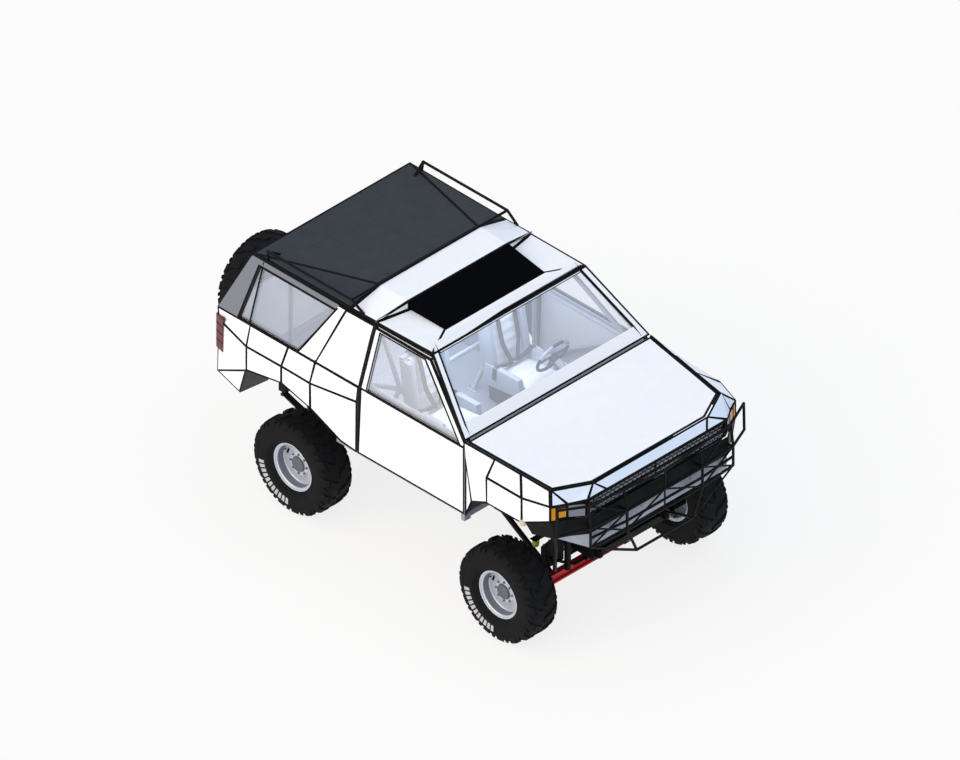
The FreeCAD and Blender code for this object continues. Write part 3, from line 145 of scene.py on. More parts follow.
@dataclass(frozen=True)
class Finish:
    """One finish of the vehicle, named for what the real one is.

    Attributes:
        name: Common name of the finish.
        slot: The record's material slot.
        colour: Main sRGB colour.
        wear: sRGB colour that dust, fading or bare edges move it towards.
        roughness: Roughness of the clean surface.
        grain: How the surface was made.
        grain_mm: Real size of the pattern in millimetres.
        relief: Strength of the pattern's bump, from 0 to 1.
        blotch: Share of the wear colour where it is strongest.
        metallic: 1 for a bare metal.
        ior: Index of refraction of a non-metal.
        coat: Share of a clear coat.
        alpha: Opacity of glass seen as a pale veil.
        glow: Strength of a lens's own light.
        sheen: Share of textile sheen.
        specular: Level of the mirror-like part; 0.5 is the usual one.
    """

    name: str
    slot: str
    colour: str
    wear: str
    roughness: float
    grain: Grain = Grain.SMOOTH
    grain_mm: float = 4.0
    relief: float = 0.1
    blotch: float = 0.1
    metallic: float = 0.0
    ior: float = 1.5
    coat: float = 0.0
    alpha: float = 1.0
    glow: float = 0.0
    sheen: float = 0.0
    specular: float = 0.5

    def pattern(self, tree: NodeTree, place: NodeSocket) -> NodeSocket:
        """Build the surface's own pattern from 0 to 1.

        Args:
            tree: The material's tree.
            place: Object coordinates in metres.

        Returns:
            The socket that carries the pattern.
        """
        per_metre = 1000 / self.grain_mm
        if self.grain is Grain.BRUSHED:
            stretch = add_node(tree, "ShaderNodeMapping", None, {0: place, "Scale": (1.0, 22.0, 22.0)})
            return add_node(tree, "ShaderNodeTexNoise", None,
                            {"Vector": stretch, "Scale": per_metre / 22, "Detail": 3.0}).outputs[0]
        if self.grain is Grain.WOVEN:
            bands = [add_node(tree, "ShaderNodeTexWave", {"bands_direction": way},
                              {"Vector": place, "Scale": per_metre / 20, "Distortion": 0.6})
                     for way in ("X", "Z")]
            return add_node(tree, "ShaderNodeMath", {"operation": "MULTIPLY"},
                            {0: bands[0].outputs["Fac"], 1: bands[1].outputs["Fac"]}).outputs[0]
        if self.grain is Grain.LENS:
            return add_node(tree, "ShaderNodeTexWave", {"bands_direction": "Z"},
                            {"Vector": place, "Scale": per_metre / 20}).outputs["Fac"]
        if self.grain is Grain.CAST:
            return add_node(tree, "ShaderNodeTexVoronoi", None,
                            {"Vector": place, "Scale": per_metre}).outputs["Distance"]
        return add_node(tree, "ShaderNodeTexNoise", None,
                        {"Vector": place, "Scale": per_metre, "Detail": 2.0}).outputs[0]

    def material(self) -> Material:
        """Give the finish's material, made on first use."""
        found = bpy.data.materials.get(self.name)
        if found:
            return found
        made = bpy.data.materials.new(self.name)
        made.use_nodes = True
        tree = made.node_tree
        tree.nodes.clear()
        place = add_node(tree, "ShaderNodeTexCoord").outputs["Object"]
        fine = self.pattern(tree, place)
        # Dust and fading drift over a hand's breadth, so their noise is about 150 mm across.
        broad = add_node(tree, "ShaderNodeTexNoise", None,
                         {"Vector": place, "Scale": 6.5, "Detail": 4.0, "Roughness": 0.6})
        share = add_node(tree, "ShaderNodeMapRange", None,
                         {0: broad, 1: 0.35, 2: 0.75, 3: 0.0, 4: self.blotch})
        colour = add_node(tree, "ShaderNodeMix", {"data_type": "RGBA"},
                          {0: share, 6: linear(self.colour), 7: linear(self.wear)})
        gloss = add_node(tree, "ShaderNodeMapRange", None,
                         {0: broad, 1: 0.3, 2: 0.8, 3: max(self.roughness - 0.04, 0.02),
                          4: min(self.roughness + 0.08, 1.0)})
        bump = add_node(tree, "ShaderNodeBump", None,
                        {"Strength": self.relief, "Distance": self.grain_mm / 4000, "Height": fine})
        inputs = {"Base Color": colour.outputs[2], "Roughness": gloss.outputs[0], "Normal": bump.outputs[0],
                  "Metallic": self.metallic, "Coat Weight": self.coat, "Alpha": self.alpha,
                  "Sheen Weight": self.sheen, "Specular IOR Level": self.specular}
        if not self.metallic:
            inputs["IOR"] = self.ior
        if self.glow:
            inputs["Emission Color"] = linear(self.colour)
            inputs["Emission Strength"] = self.glow
        shader = add_node(tree, "ShaderNodeBsdfPrincipled", None, inputs)
        add_node(tree, "ShaderNodeOutputMaterial", None, {0: shader})
        return made


# Gelcoat white over glass-fibre panels: glossy, nearly pure white, hardly any peel.
PAINT = Finish("white_gelcoat", "body_white", "#f6f7f9", "#eceff4", 0.32, Grain.SPRAYED, 7.0, 0.05, 0.3,
               coat=0.3)
# The same gelcoat in a cooler, darker white over the nose: painted shade of its forward-leaning faces.
NOSE_PAINTED_SHADE = Finish("cool_white_gelcoat", "body_white", "#dbe6f5", "#cfdced", 0.32, Grain.SPRAYED, 7.0, 0.05,
                    0.3, coat=0.3)
# The backs of the same panels, left in flat primer, which shows only where a lid stands open.
PRIMER = Finish("panel_back_primer", "body_white", "#c9ccd2", "#b7bbc2", 0.75, Grain.CAST, 4.0, 0.3, 0.4)
# EPDM rubber and black sealer in every crease and shut line: matt black.
SEAL = Finish("black_seam_rubber", "black_steel", "#050506", "#0c0d0f", 0.7, Grain.RUBBER, 3.0, 0.2, 0.3,
              specular=0.15)
# Powder-coated tube: satin black with a fine texture.
POWDER = Finish("black_powder_coat", "black_steel", "#07080a", "#111316", 0.5, Grain.CAST, 2.5, 0.25, 0.35,
                specular=0.12)
# Near-black over the roof scoop, with hardly any reflection: the scoop's own black, deepened as painted shade
# of the intake's dark mouth.
SCOOP_BLACK_AND_SHADE = Finish("black_anodised_mesh", "black_steel", "#030406", "#07090d", 0.8, Grain.CAST, 6.0, 0.3, 0.3,
               specular=0.03)
# Chassis paint on rolled steel: thick, dull, charcoal; the same charcoal is painted shade inside the wheel
# arches.
CHASSIS_PAINT_AND_ARCH_SHADE = Finish("charcoal_chassis_paint", "chassis_grey", "#38393d", "#24252a", 0.6, Grain.CAST, 4.0, 0.3,
                 0.5)
# Pale rubberised coating sprayed over the floor and the inside of the tub.
TUB = Finish("pale_tub_liner", "chassis_grey", "#8f96a2", "#7a818d", 0.7, Grain.CAST, 5.0, 0.4, 0.4)
# Red enamel on the plated front beams.
BEAM = Finish("red_enamel", "beam_red", "#b40d1b", "#8c0a15", 0.4, Grain.SPRAYED, 5.0, 0.15, 0.4,
              specular=0.3)
# Blue-grey hammer paint on the cage's drawn steel tube.
CAGE = Finish("blue_grey_tube_enamel", "cage_grey", "#a3acbb", "#8f98a7", 0.4, Grain.CAST, 5.0, 0.2, 0.3)
# Natural and carbon rubber: nearly black, dull, dusty in its low places.
TYRE = Finish("carbon_black_rubber", "tyre_rubber", "#0f1012", "#17181b", 0.8, Grain.RUBBER, 3.0, 0.3, 0.5,
              specular=0.15)
# Titanium-white rubber laid into the sidewall.
TYRE_WHITE = Finish("white_sidewall_rubber", "tyre_rubber", "#b9babd", "#8f9094", 0.75, Grain.RUBBER, 3.0,
                    0.25, 0.5)
# Painted cast aluminium wheel, pale silver with a fine metal fleck.
RIM = Finish("silver_wheel_paint", "rim_silver", "#c3c9d6", "#aab0bd", 0.38, Grain.SPRAYED, 1.5, 0.1, 0.3,
             metallic=0.35)
# The shaded wall of a rim's barrel.
RIM_SHADE = Finish("rim_hole_shade", "rim_silver", "#6d737e", "#5a606a", 0.6, Grain.CAST, 2.0, 0.1, 0.2)
# Zinc-plated fasteners and hub parts, a little yellowed.
ZINC = Finish("zinc_plated_steel", "rim_silver", "#8d9095", "#6b6d72", 0.35, Grain.SMOOTH, 2.0, 0.1, 0.4,
              metallic=1.0)
# A darker grey on the hub cap in the wheel's middle.
HUB = Finish("oiled_cast_hub", "rim_silver", "#596068", "#474d54", 0.5, Grain.CAST, 2.5, 0.3, 0.4)
# Float glass over a dim cab: a mostly see-through veil whose near-white, pale blue colour is painted
# reflection of the sky.
GLASS_REFLECTION_VEIL = Finish("clear_float_glass", "window_glass", "#f4f7fe", "#ebf1fc", 0.05, Grain.SMOOTH, 40.0, 0.0, 0.3,
               ior=1.52, alpha=0.2)
# Smoked polycarbonate in the rear side windows: its grey is the sheet's own tint, and its paleness is painted
# reflection.
SMOKED_TINT_AND_REFLECTION = Finish("smoked_polycarbonate", "tinted_glass", "#b4b9c4", "#a5abb7", 0.08, Grain.SMOOTH, 40.0, 0.0,
                0.3, ior=1.58, alpha=0.4)
# The same sheet over the painted rail and the corner windows, where it hides what is under it.
SMOKED_RAIL = Finish("smoked_rail_film", "tinted_glass", "#6f747e", "#676c75", 0.3, Grain.SMOOTH, 40.0, 0.0,
                     0.3, ior=1.58)
# Coated canvas vinyl over the rear of the roof: charcoal, matt, with a cross rib.
VINYL = Finish("charcoal_roof_vinyl", "roof_vinyl", "#34373c", "#2a2d32", 0.7, Grain.WOVEN, 9.0, 0.35, 0.4,
               sheen=0.05, specular=0.15)
# Polycarbonate headlamp cover over a bright bowl.
LENS_CLEAR = Finish("clear_lamp_lens", "lamp_clear", "#7c828d", "#5f656f", 0.16, Grain.LENS, 9.0, 0.4, 0.5,
                    ior=1.58, coat=0.1, specular=0.2)
# Amber acrylic.
LENS_AMBER = Finish("amber_lamp_lens", "lamp_orange", "#d8900f", "#b8730a", 0.2, Grain.LENS, 12.0, 0.4, 0.4,
                    ior=1.49, coat=0.1, specular=0.2)
# Dark red acrylic.
LENS_RED = Finish("red_lamp_lens", "lamp_red", "#5c171f", "#461218", 0.22, Grain.LENS, 12.0, 0.4, 0.4,
                  ior=1.49, coat=0.1, specular=0.2)
# Folded aluminium sheet, brushed along its length and lightly scratched.
SKID = Finish("brushed_aluminium_plate", "skid_alloy", "#a0a8b5", "#7f8795", 0.45, Grain.BRUSHED, 2.0, 0.2,
              0.6, metallic=0.6)
# Painted cast iron.
IRON = Finish("painted_cast_iron", "engine_iron", "#4a4d52", "#36383c", 0.6, Grain.CAST, 4.0, 0.45, 0.5)
# Woven polyester over foam, pale grey.
FABRIC = Finish("woven_seat_cloth", "seat_fabric", "#e4e8f0", "#d2d8e3", 0.85, Grain.WOVEN, 5.0, 0.5, 0.3,
                sheen=0.3)
# Vinyl bolsters, darker and smoother than the cloth.
BOLSTER = Finish("seat_bolster_vinyl", "seat_fabric", "#a9b2c2", "#959eaf", 0.55, Grain.CAST, 2.0, 0.3, 0.3)
# Polyester webbing.
WEBBING = Finish("harness_webbing", "seat_fabric", "#2a2d33", "#1c1e22", 0.8, Grain.WOVEN, 4.0, 0.5, 0.3)
# Soft dash plastic.
DASH = Finish("moulded_dash_plastic", "dash_plastic", "#a7b0bf", "#959eae", 0.6, Grain.CAST, 2.0, 0.35, 0.3)
# Oil-blacked spring leaves with rust starting at their ends.
LEAF = Finish("blacked_spring_steel", "spring_steel", "#26272a", "#4a3a30", 0.5, Grain.BRUSHED, 3.0, 0.2, 0.4,
              metallic=0.5)
# Blacked damper bodies and rods.
SHOCK = Finish("black_damper_steel", "shock_steel", "#2b2d31", "#3c3f44", 0.4, Grain.BRUSHED, 2.0, 0.1, 0.3,
               specular=0.3)
# Coiled spring wire under a black powder coat.
COIL = Finish("coated_coil_wire", "shock_steel", "#1d1f23", "#2d3036", 0.45, Grain.CAST, 2.5, 0.15, 0.3,
              specular=0.3)
# Urethane bump stop, bright yellow.
BUMP_STOP = Finish("yellow_urethane", "shock_steel", "#e8e51c", "#c9c314", 0.45, Grain.RUBBER, 3.0, 0.1, 0.2)
# Nylon knuckle ball, beige.
NYLON = Finish("beige_nylon", "dash_plastic", "#c9b99f", "#b3a286", 0.5, Grain.CAST, 2.0, 0.15, 0.3)
# Pale grey: the dash dials' ticks, and on the grille's short slats a painted highlight for glints on the
# mesh.
PALE_TICK_AND_GLINT = Finish("anodised_grille_slat", "black_steel", "#8b9099", "#6d727b", 0.4, Grain.BRUSHED, 2.0, 0.1, 0.5)


def dress(node: Object, finish: Finish) -> Object:
    """Give a whole object one finish.

    Args:
        node: A CAD node or a finished piece.
        finish: The finish it takes.

    Returns:
        The same object.
    """
    node.data.materials.clear()
    node.data.materials.append(finish.material())
    return node


# ---------------------------------------------------------------- shared builders

@dataclass
class Workshop:
    """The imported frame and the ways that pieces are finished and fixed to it."""

    frame: dict[str, object]
    made: int = 0
    dressed: set[str] = field(default_factory=set)

    def node(self, name: str) -> Object:
        """Give a CAD node by its name."""
        return self.frame["nodes"][name]

    def body(self, name: str) -> str:
        """Give the body that a CAD node rides on."""
        return self.node(name)["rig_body"]

    def box(self, name: str) -> tuple[Vector, Vector]:
        """Give a CAD node's lowest and highest corners."""
        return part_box(name)

    def middle(self, name: str) -> Vector:
        """Give the middle of a CAD node's box."""
        low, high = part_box(name)
        return (low + high) / 2

    def surface(self, name: str, start: Vector, way: Vector) -> tuple[Vector, Vector] | None:
        """Find where a straight line first meets a CAD node.

        Args:
            name: The node.
            start: A point outside it.
            way: Direction of the line.

        Returns:
            The point and the outward normal there, or None where the line misses.
        """
        bm = merged(self.node(name))
        spot, normal, _, _ = BVHTree.FromBMesh(bm).ray_cast(start, way)
        bm.free()
        if spot is None:
            return None
        return spot, -normal if normal.dot(way) > 0 else normal

    def finished(self, item: Object, body: str, stands_for: Sequence[str] = ()) -> Object:
        """Fix a finished piece to its body.

        Args:
            item: The piece, with its place in its mesh.
            body: The body that it rides on.
            stands_for: CAD nodes that it is shown in place of.

        Returns:
            The same piece.
        """
        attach(item, body)
        if stands_for:
            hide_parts(*stands_for)
        self.made += 1
        log.info("%s: %d faces on %s", item.name, len(item.data.polygons), body)
        return item

    def fit(self, name: str, bm: BMesh, finishes: Sequence[Finish], node: str,
            smooth_deg: float = 0.0, stands_for: Sequence[str] = ()) -> Object:
        """Close a bmesh into a piece and fix it to a CAD node's body.

        Args:
            name: The piece's name.
            bm: Its faces, in place; it is freed.
            finishes: One finish for each material index.
            node: The CAD node whose body it rides on.
            smooth_deg: Edges flatter than this are shaded smooth.
            stands_for: CAD nodes that it is shown in place of.

        Returns:
            The finished piece.
        """
        item = from_bmesh(name, bm, finishes, smooth_deg)
        return self.finished(item, self.body(node), stands_for)

    def dress_node(self, name: str, finish: Finish) -> None:
        """Give a CAD node that stays shown its finish."""
        dress(self.node(name), finish)
        self.dressed.add(name)
        log.info("%s keeps its shape in %s", name, finish.name)


def link(name: str, mesh: Mesh, finishes: Sequence[Finish]) -> Object:
    """Make an object of a mesh and give it its finishes in order.

    Args:
        name: The piece's name.
        mesh: Its mesh, in place.
        finishes: One finish for each material index.

    Returns:
        The linked object.
    """
    item = bpy.data.objects.new(name, mesh)
    bpy.context.scene.collection.objects.link(item)
    for finish in finishes:
        mesh.materials.append(finish.material())
    return item


def from_bmesh(name: str, bm: BMesh, finishes: Sequence[Finish], smooth_deg: float = 0.0) -> Object:
    """Close a bmesh into an object with outward faces.

    Args:
        name: The piece's name.
        bm: Its faces, in place; it is freed.
        finishes: One finish for each material index.
        smooth_deg: Edges flatter than this are shaded smooth; 0 keeps every face flat.

    Returns:
        The linked object.
    """
    bmesh.ops.remove_doubles(bm, verts=bm.verts, dist=1e-6)
    bmesh.ops.recalc_face_normals(bm, faces=bm.faces)
    if smooth_deg:
        for face in bm.faces:
            face.smooth = True
        for edge in bm.edges:
            edge.smooth = len(edge.link_faces) == 2 and edge.calc_face_angle() < radians(smooth_deg)
    mesh = bpy.data.meshes.new(name)
    bm.to_mesh(mesh)
    bm.free()
    return link(name, mesh, finishes)


def merged(node: Object) -> BMesh:
    """Copy a CAD node's triangles into one closed mesh; the node itself is left alone."""
    bm = bmesh.new()
    bm.from_mesh(node.data)
    bmesh.ops.remove_doubles(bm, verts=bm.verts, dist=2e-5)
    return bm


def add_tube(bm: BMesh, path: Sequence[Point], radius: float, sides: int = 12, material: int = 0,
             closed: bool = False) -> None:
    """Sweep a round tube along a path, mitred at its corners.

    Args:
        bm: Mesh that gets the tube.
        path: Its centre line.
        radius: Its radius.
        sides: Faces round it.
        material: Material index of its faces.
        closed: Whether the path meets its own start.
    """
    path = [Vector(point) for point in path]
    count = len(path)
    first = path[1] - path[0]
    guide = Vector((0, 0, 1)) if abs(first.normalized().z) < 0.9 else Vector((1, 0, 0))
    rings = []
    for place, point in enumerate(path):
        before = path[place] - path[place - 1] if closed or place else path[1] - path[0]
        after = path[(place + 1) % count] - point if closed or place < count - 1 else before
        along = (before.normalized() + after.normalized()).normalized()
        side = along.cross(guide).normalized()
        up = side.cross(along).normalized()
        half = before.angle(after, 0.0) / 2
        stretch = 1 / max(cos(half), 0.5)
        bend = (after.normalized() - before.normalized())
        bend = bend.normalized() if bend.length > 1e-6 else side
        ring = []
        for step in range(sides):
            turn = 2 * pi * step / sides
            spoke = side * cos(turn) + up * sin(turn)
            spoke += bend * (spoke.dot(bend) * (stretch - 1))
            ring.append(bm.verts.new(point + spoke * radius))
        rings.append(ring)
    pairs = list(zip(rings, rings[1:]))
    if closed:
        pairs.append((rings[-1], rings[0]))
    for low, high in pairs:
        for step in range(sides):
            after = (step + 1) % sides
            face = bm.faces.new((low[step], low[after], high[after], high[step]))
            face.material_index = material
    if not closed:
        for ring, turned in ((rings[0], True), (rings[-1], False)):
            cap = bm.faces.new(ring[::-1] if turned else ring)
            cap.material_index = material


def add_block(bm: BMesh, corners: Sequence[Point], sweep: Point, material: int = 0,
              round_off: float = 0.0) -> list[BMFace]:
    """Sweep a flat outline into a block and round its edges.

    Args:
        bm: Mesh that gets the block.
        corners: The outline in order.
        sweep: How far and which way it is swept.
        material: Material index of its faces.
        round_off: Width of the rounding on its edges.

    Returns:
        The block's faces.
    """
    corners, sweep = [Vector(c) for c in corners], Vector(sweep)
    part = bmesh.new()
    base = [part.verts.new(c) for c in corners]
    lid = [part.verts.new(c + sweep) for c in corners]
    part.faces.new(base)
    part.faces.new(lid[::-1])
    for place in range(len(corners)):
        after = (place + 1) % len(corners)
        part.faces.new((base[after], base[place], lid[place], lid[after]))
    bmesh.ops.recalc_face_normals(part, faces=part.faces)
    if round_off:
        bmesh.ops.bevel(part, geom=list(part.edges), offset=round_off, segments=2, affect="EDGES",
                        profile=0.7, clamp_overlap=True)
    for face in part.faces:
        face.material_index = material
    return join_into(bm, part)


def add_box(bm: BMesh, across: tuple[float, float], along: tuple[float, float], rise: tuple[float, float],
            material: int = 0, round_off: float = 0.0) -> None:
    """Stand a straight block on a level rectangle.

    Args:
        bm: Mesh that gets the block.
        across: X of its first and last face.
        along: Y of its first and last face.
        rise: Z of its lower face, and its height.
        material: Material index of its faces.
        round_off: Width of the rounding on its edges.
    """
    corners = [(x, y, rise[0])
               for x, y in zip((*across, *across[::-1]), (along[0], along[0], along[1], along[1]))]
    add_block(bm, corners, (0, 0, rise[1]), material, round_off)


def join_into(bm: BMesh, part: BMesh, place: Matrix | None = None) -> list[BMFace]:
    """Add one mesh to another and free it.

    Args:
        bm: Mesh that gets the faces.
        part: Mesh that gives them.
        place: Where the part goes, if it is not in place already.

    Returns:
        The added faces.
    """
    if place is not None:
        bmesh.ops.transform(part, matrix=place, verts=part.verts)
    holder = bpy.data.meshes.new("holder")
    part.to_mesh(holder)
    part.free()
    before = len(bm.faces)
    bm.from_mesh(holder)
    bpy.data.meshes.remove(holder)
    bm.faces.ensure_lookup_table()
    return bm.faces[before:]


def add_turned(bm: BMesh, profile: Sequence[tuple[float, float]], centre: Point, axis: Point, sides: int = 48,
               material: int | Callable[[int], int] = 0, looped: bool = True) -> None:
    """Turn a profile round an axis.

    Args:
        bm: Mesh that gets the turned shape.
        profile: Radius and distance along the axis, in order.
        centre: A point of the axis.
        axis: Its direction.
        sides: Faces round it.
        material: Material index, or a function of the profile's step that gives it.
        looped: Whether the profile closes on itself.
    """
    centre, axis = Vector(centre), Vector(axis).normalized()
    guide = Vector((0, 0, 1)) if abs(axis.z) < 0.9 else Vector((1, 0, 0))
    side = axis.cross(guide).normalized()
    up = side.cross(axis)
    rings = []
    for radius, along in profile:
        if radius < 1e-6:
            rings.append([bm.verts.new(centre + axis * along)])
            continue
        rings.append(
            [bm.verts.new(centre + axis * along + side * (radius * cos(turn)) + up * (radius * sin(turn)))
             for turn in (2 * pi * step / sides for step in range(sides))])
    pairs = list(zip(rings, rings[1:]))
    if looped:
        pairs.append((rings[-1], rings[0]))
    for step, (low, high) in enumerate(pairs):
        index = material(step) if callable(material) else material
        for spot in range(sides):
            after = (spot + 1) % sides
            corners = [low[spot % len(low)], low[after % len(low)], high[after % len(high)],
                       high[spot % len(high)]]
            corners = list(dict.fromkeys(corners))
            if len(corners) > 2:
                bm.faces.new(corners).material_index = index


# ---------------------------------------------------------------- painted panels

@dataclass(frozen=True)
class Line:
    """A straight line on a panel, the same on both sides of the vehicle.

    Attributes:
        start: One end, with its distance from the middle plane as Y.
        end: The other end.
    """

    start: tuple[float, float, float]
    end: tuple[float, float, float]

    def holds(self, point: Vector, near: float = 0.004) -> bool:
        """Tell whether a point lies on the line, on either side of the vehicle."""
        spot = Vector((point.x, abs(point.y), point.z))
        start, end = Vector(self.start), Vector(self.end)
        along = end - start
        share = min(max((spot - start).dot(along) / along.length_squared, 0.0), 1.0)
        return (spot - start - along * share).length < near

    def spans(self, ends: Sequence[Vector]) -> bool:
        """Tell whether an edge lies on the line; only a line from the middle may cross it."""
        across = self.start[1] == 0
        return all(self.holds(p) for p in ends) and (across or ends[0].y * ends[1].y >= 0)

    def score(self, bm: BMesh, side: int) -> None:
        """Cut the line into the faces that it crosses on one side of the vehicle.

        Args:
            bm: The panel.
            side: -1 for the right side, 1 for the left side.
        """
        start, end = (Vector((x, side * y, z)) for x, y, z in (self.start, self.end))
        along = end - start
        flat = 2 if abs(along.z) < 0.1 else 1
        up = Vector((0, flat == 1, flat == 2))
        low, high = Vector(map(min, start, end)), Vector(map(max, start, end))
        faces = [f for f in bm.faces if abs(f.normal.dot(up)) > 0.7
                 and all(min(v.co[i] for v in f.verts) < high[i] - 0.001
                         and max(v.co[i] for v in f.verts) > low[i] + 0.001 for i in {0, 1, 2} - {flat})]
        geometry = [*faces, *{e for f in faces for e in f.edges}, *{v for f in faces for v in f.verts}]
        for spot, normal in ((start, along.cross(up)), (start, along), (end, along)):
            geometry = bmesh.ops.bisect_plane(
                bm, geom=geometry, dist=1e-4, plane_co=spot, plane_no=normal.normalized())["geom"]


@dataclass
class PaintedPanel:
    """A folded panel whose creases and borders are sealed in a thin groove.

    Attributes:
        node: CAD node that the panel is shown in place of.
        name: The piece's name.
        sealed: Lines that are sealed although the panel hardly folds there.
        plain: Folds that the paint runs across.
        scored: Lines that are cut into flat parts of the panel and sealed.
        outer: Finish of the faces that look outwards.
        inner: Finish of the faces that look into the vehicle.
        seal: Finish of the sealed borders.
        seal_width: Width of the seal on each side of a crease.
        groove: Depth of the groove along a crease.
        slim: Faces narrower than this are sealed all over, as in a shut gap.
        rim_extra: How much wider the seal is along the panel's outer edges and openings.
        turned_in: Cosine under which a field counts as the panel's inner side.
        crease_deg: Facets that meet at less than this share one field of paint.
    """

    node: str
    name: str
    sealed: Sequence[Line] = ()
    plain: Sequence[Line] = ()
    scored: Sequence[Line] = ()
    outer: Finish = PAINT
    inner: Finish = PRIMER
    seal: Finish = SEAL
    seal_width: float = 0.0125
    groove: float = 0.003
    slim: float = 0.036
    rim_extra: float = 0.004
    turned_in: float = 0.12
    crease_deg: float = 5.0

    def is_seam(self, edge: BMEdge) -> bool:
        """Tell whether an edge parts two fields of paint."""
        if len(edge.link_faces) != 2:
            return True
        ends = [v.co for v in edge.verts]
        if any(line.spans(ends) for line in (*self.sealed, *self.scored)):
            return True
        fold = edge.calc_face_angle()
        if fold < radians(self.crease_deg):
            return False
        return not any(line.spans(ends) for line in self.plain)

    def fields(self, bm: BMesh) -> list[list[BMFace]]:
        """Group the faces into fields of paint, parted by seams.

        Args:
            bm: The merged panel.

        Returns:
            Lists of joined faces.
        """
        seams = {edge for edge in bm.edges if self.is_seam(edge)}
        seen: set[BMFace] = set()
        found = []
        for start in bm.faces:
            if start in seen:
                continue
            seen.add(start)
            group, queue = [start], [start]
            while queue:
                face = queue.pop()
                for edge in face.edges:
                    if edge in seams:
                        continue
                    for other in edge.link_faces:
                        if other not in seen:
                            seen.add(other)
                            group.append(other)
                            queue.append(other)
            found.append(group)
        return found

    def looks_out(self, group: Sequence[BMFace]) -> bool:
        """Tell whether a field faces away from the middle of the vehicle."""
        area = sum(f.calc_area() for f in group) or 1e-9
        centre = sum((f.calc_center_median() * f.calc_area() for f in group), Vector()) / area
        normal = sum((f.normal * f.calc_area() for f in group), Vector()).normalized()
        core = Vector((min(max(centre.x, -1.3), 1.3), 0.0, min(max(centre.z, 1.2), 1.6)))
        return (centre - core).normalized().dot(normal) > self.turned_in

    @staticmethod
    def width(group: Sequence[BMFace]) -> float:
        """Give a field's mean width, twice its area over its border."""
        inside = set(group)
        border = sum(e.calc_length() for f in group
                     for e in f.edges if any(o not in inside for o in e.link_faces))
        return 2 * sum(f.calc_area() for f in group) / max(border, 1e-6)

    def widen(self, ring: Sequence[BMFace], field_faces: set[BMFace]) -> None:
        """Widen a field's seal where it borders an opening or the panel's outer edge.

        Args:
            ring: Faces of the field's seal.
            field_faces: The field and its seal.
        """
        moves: dict[BMVert, Vector] = {}
        for face in ring:
            outer = [e for e in face.edges if len(e.link_faces) == 2
                     and not field_faces.issuperset(e.link_faces)
                     and e.calc_face_angle() > radians(62)]
            for edge in outer:
                one, two = (v.co for v in edge.verts)
                inward = face.calc_center_median() - (one + two) / 2
                way = (two - one).normalized()
                inward = (inward - way * inward.dot(way)).normalized() * self.rim_extra
                for vert in set(face.verts) - set(edge.verts):
                    moves[vert] = moves.get(vert, Vector()) + inward
        for vert, move in moves.items():
            vert.co += move

    def build(self, shop: Workshop) -> Object:
        """Build the sealed panel.

        Args:
            shop: The frame and fixings.

        Returns:
            The finished piece.
        """
        bm = merged(shop.node(self.node))
        for line in self.scored:
            for side in SIDES.values():
                line.score(bm, side)
        bm.normal_update()
        creases = {v: v.normal.copy() for v in bm.verts if any(self.is_seam(e) for e in v.link_edges)}
        for group in self.fields(bm):
            outward = self.looks_out(group)
            if self.width(group) < self.slim:
                for face in group:
                    face.material_index = 2
                continue
            for face in group:
                face.material_index = 0 if outward else 1
            if outward:
                ring = bmesh.ops.inset_region(
                    bm, faces=group, thickness=self.seal_width, use_boundary=True, use_even_offset=True)
                for face in ring["faces"]:
                    face.material_index = 2
                self.widen(ring["faces"], {*group, *ring["faces"]})
        for vert, normal in creases.items():
            if vert.is_valid:
                vert.co -= normal * self.groove
        mesh = bpy.data.meshes.new(self.name)
        bm.to_mesh(mesh)
        bm.free()
        item = link(self.name, mesh, (self.outer, self.inner, self.seal))
        return shop.finished(item, shop.body(self.node), (self.node,))


# ---------------------------------------------------------------- geometry node trees

def open_tree(name: str, inputs: Sequence[tuple[str, str, object]]) -> tuple[NodeTree, Node, Node]:
    """Start a geometry tree with named inputs and one geometry in and out.

    Args:
        name: The tree's name.
        inputs: Name, socket type and first value of each input.

    Returns:
        The tree, its input node and its output node.
    """
    tree = bpy.data.node_groups.new(name, "GeometryNodeTree")
    tree.interface.new_socket("Geometry", in_out="INPUT", socket_type="NodeSocketGeometry")
    for label, kind, value in inputs:
        socket = tree.interface.new_socket(label, in_out="INPUT", socket_type=kind)
        if value is not None:
            socket.default_value = value
    tree.interface.new_socket("Geometry", in_out="OUTPUT", socket_type="NodeSocketGeometry")
    return tree, add_node(tree, "NodeGroupInput"), add_node(tree, "NodeGroupOutput")


def close_tree(tree: NodeTree, entry: Node, out: Node, shape: NodeSocket) -> None:
    """End a tree in real geometry with its finish.

    Args:
        tree: The tree.
        entry: Its input node, with an input named Finish.
        out: Its output node.
        shape: The geometry so far.
    """
    real = add_node(tree, "GeometryNodeRealizeInstances", None, {0: shape})
    dressed = add_node(tree, "GeometryNodeSetMaterial", None,
                       {"Geometry": real, "Material": entry.outputs["Finish"]})
    tree.links.new(dressed.outputs[0], out.inputs[0])


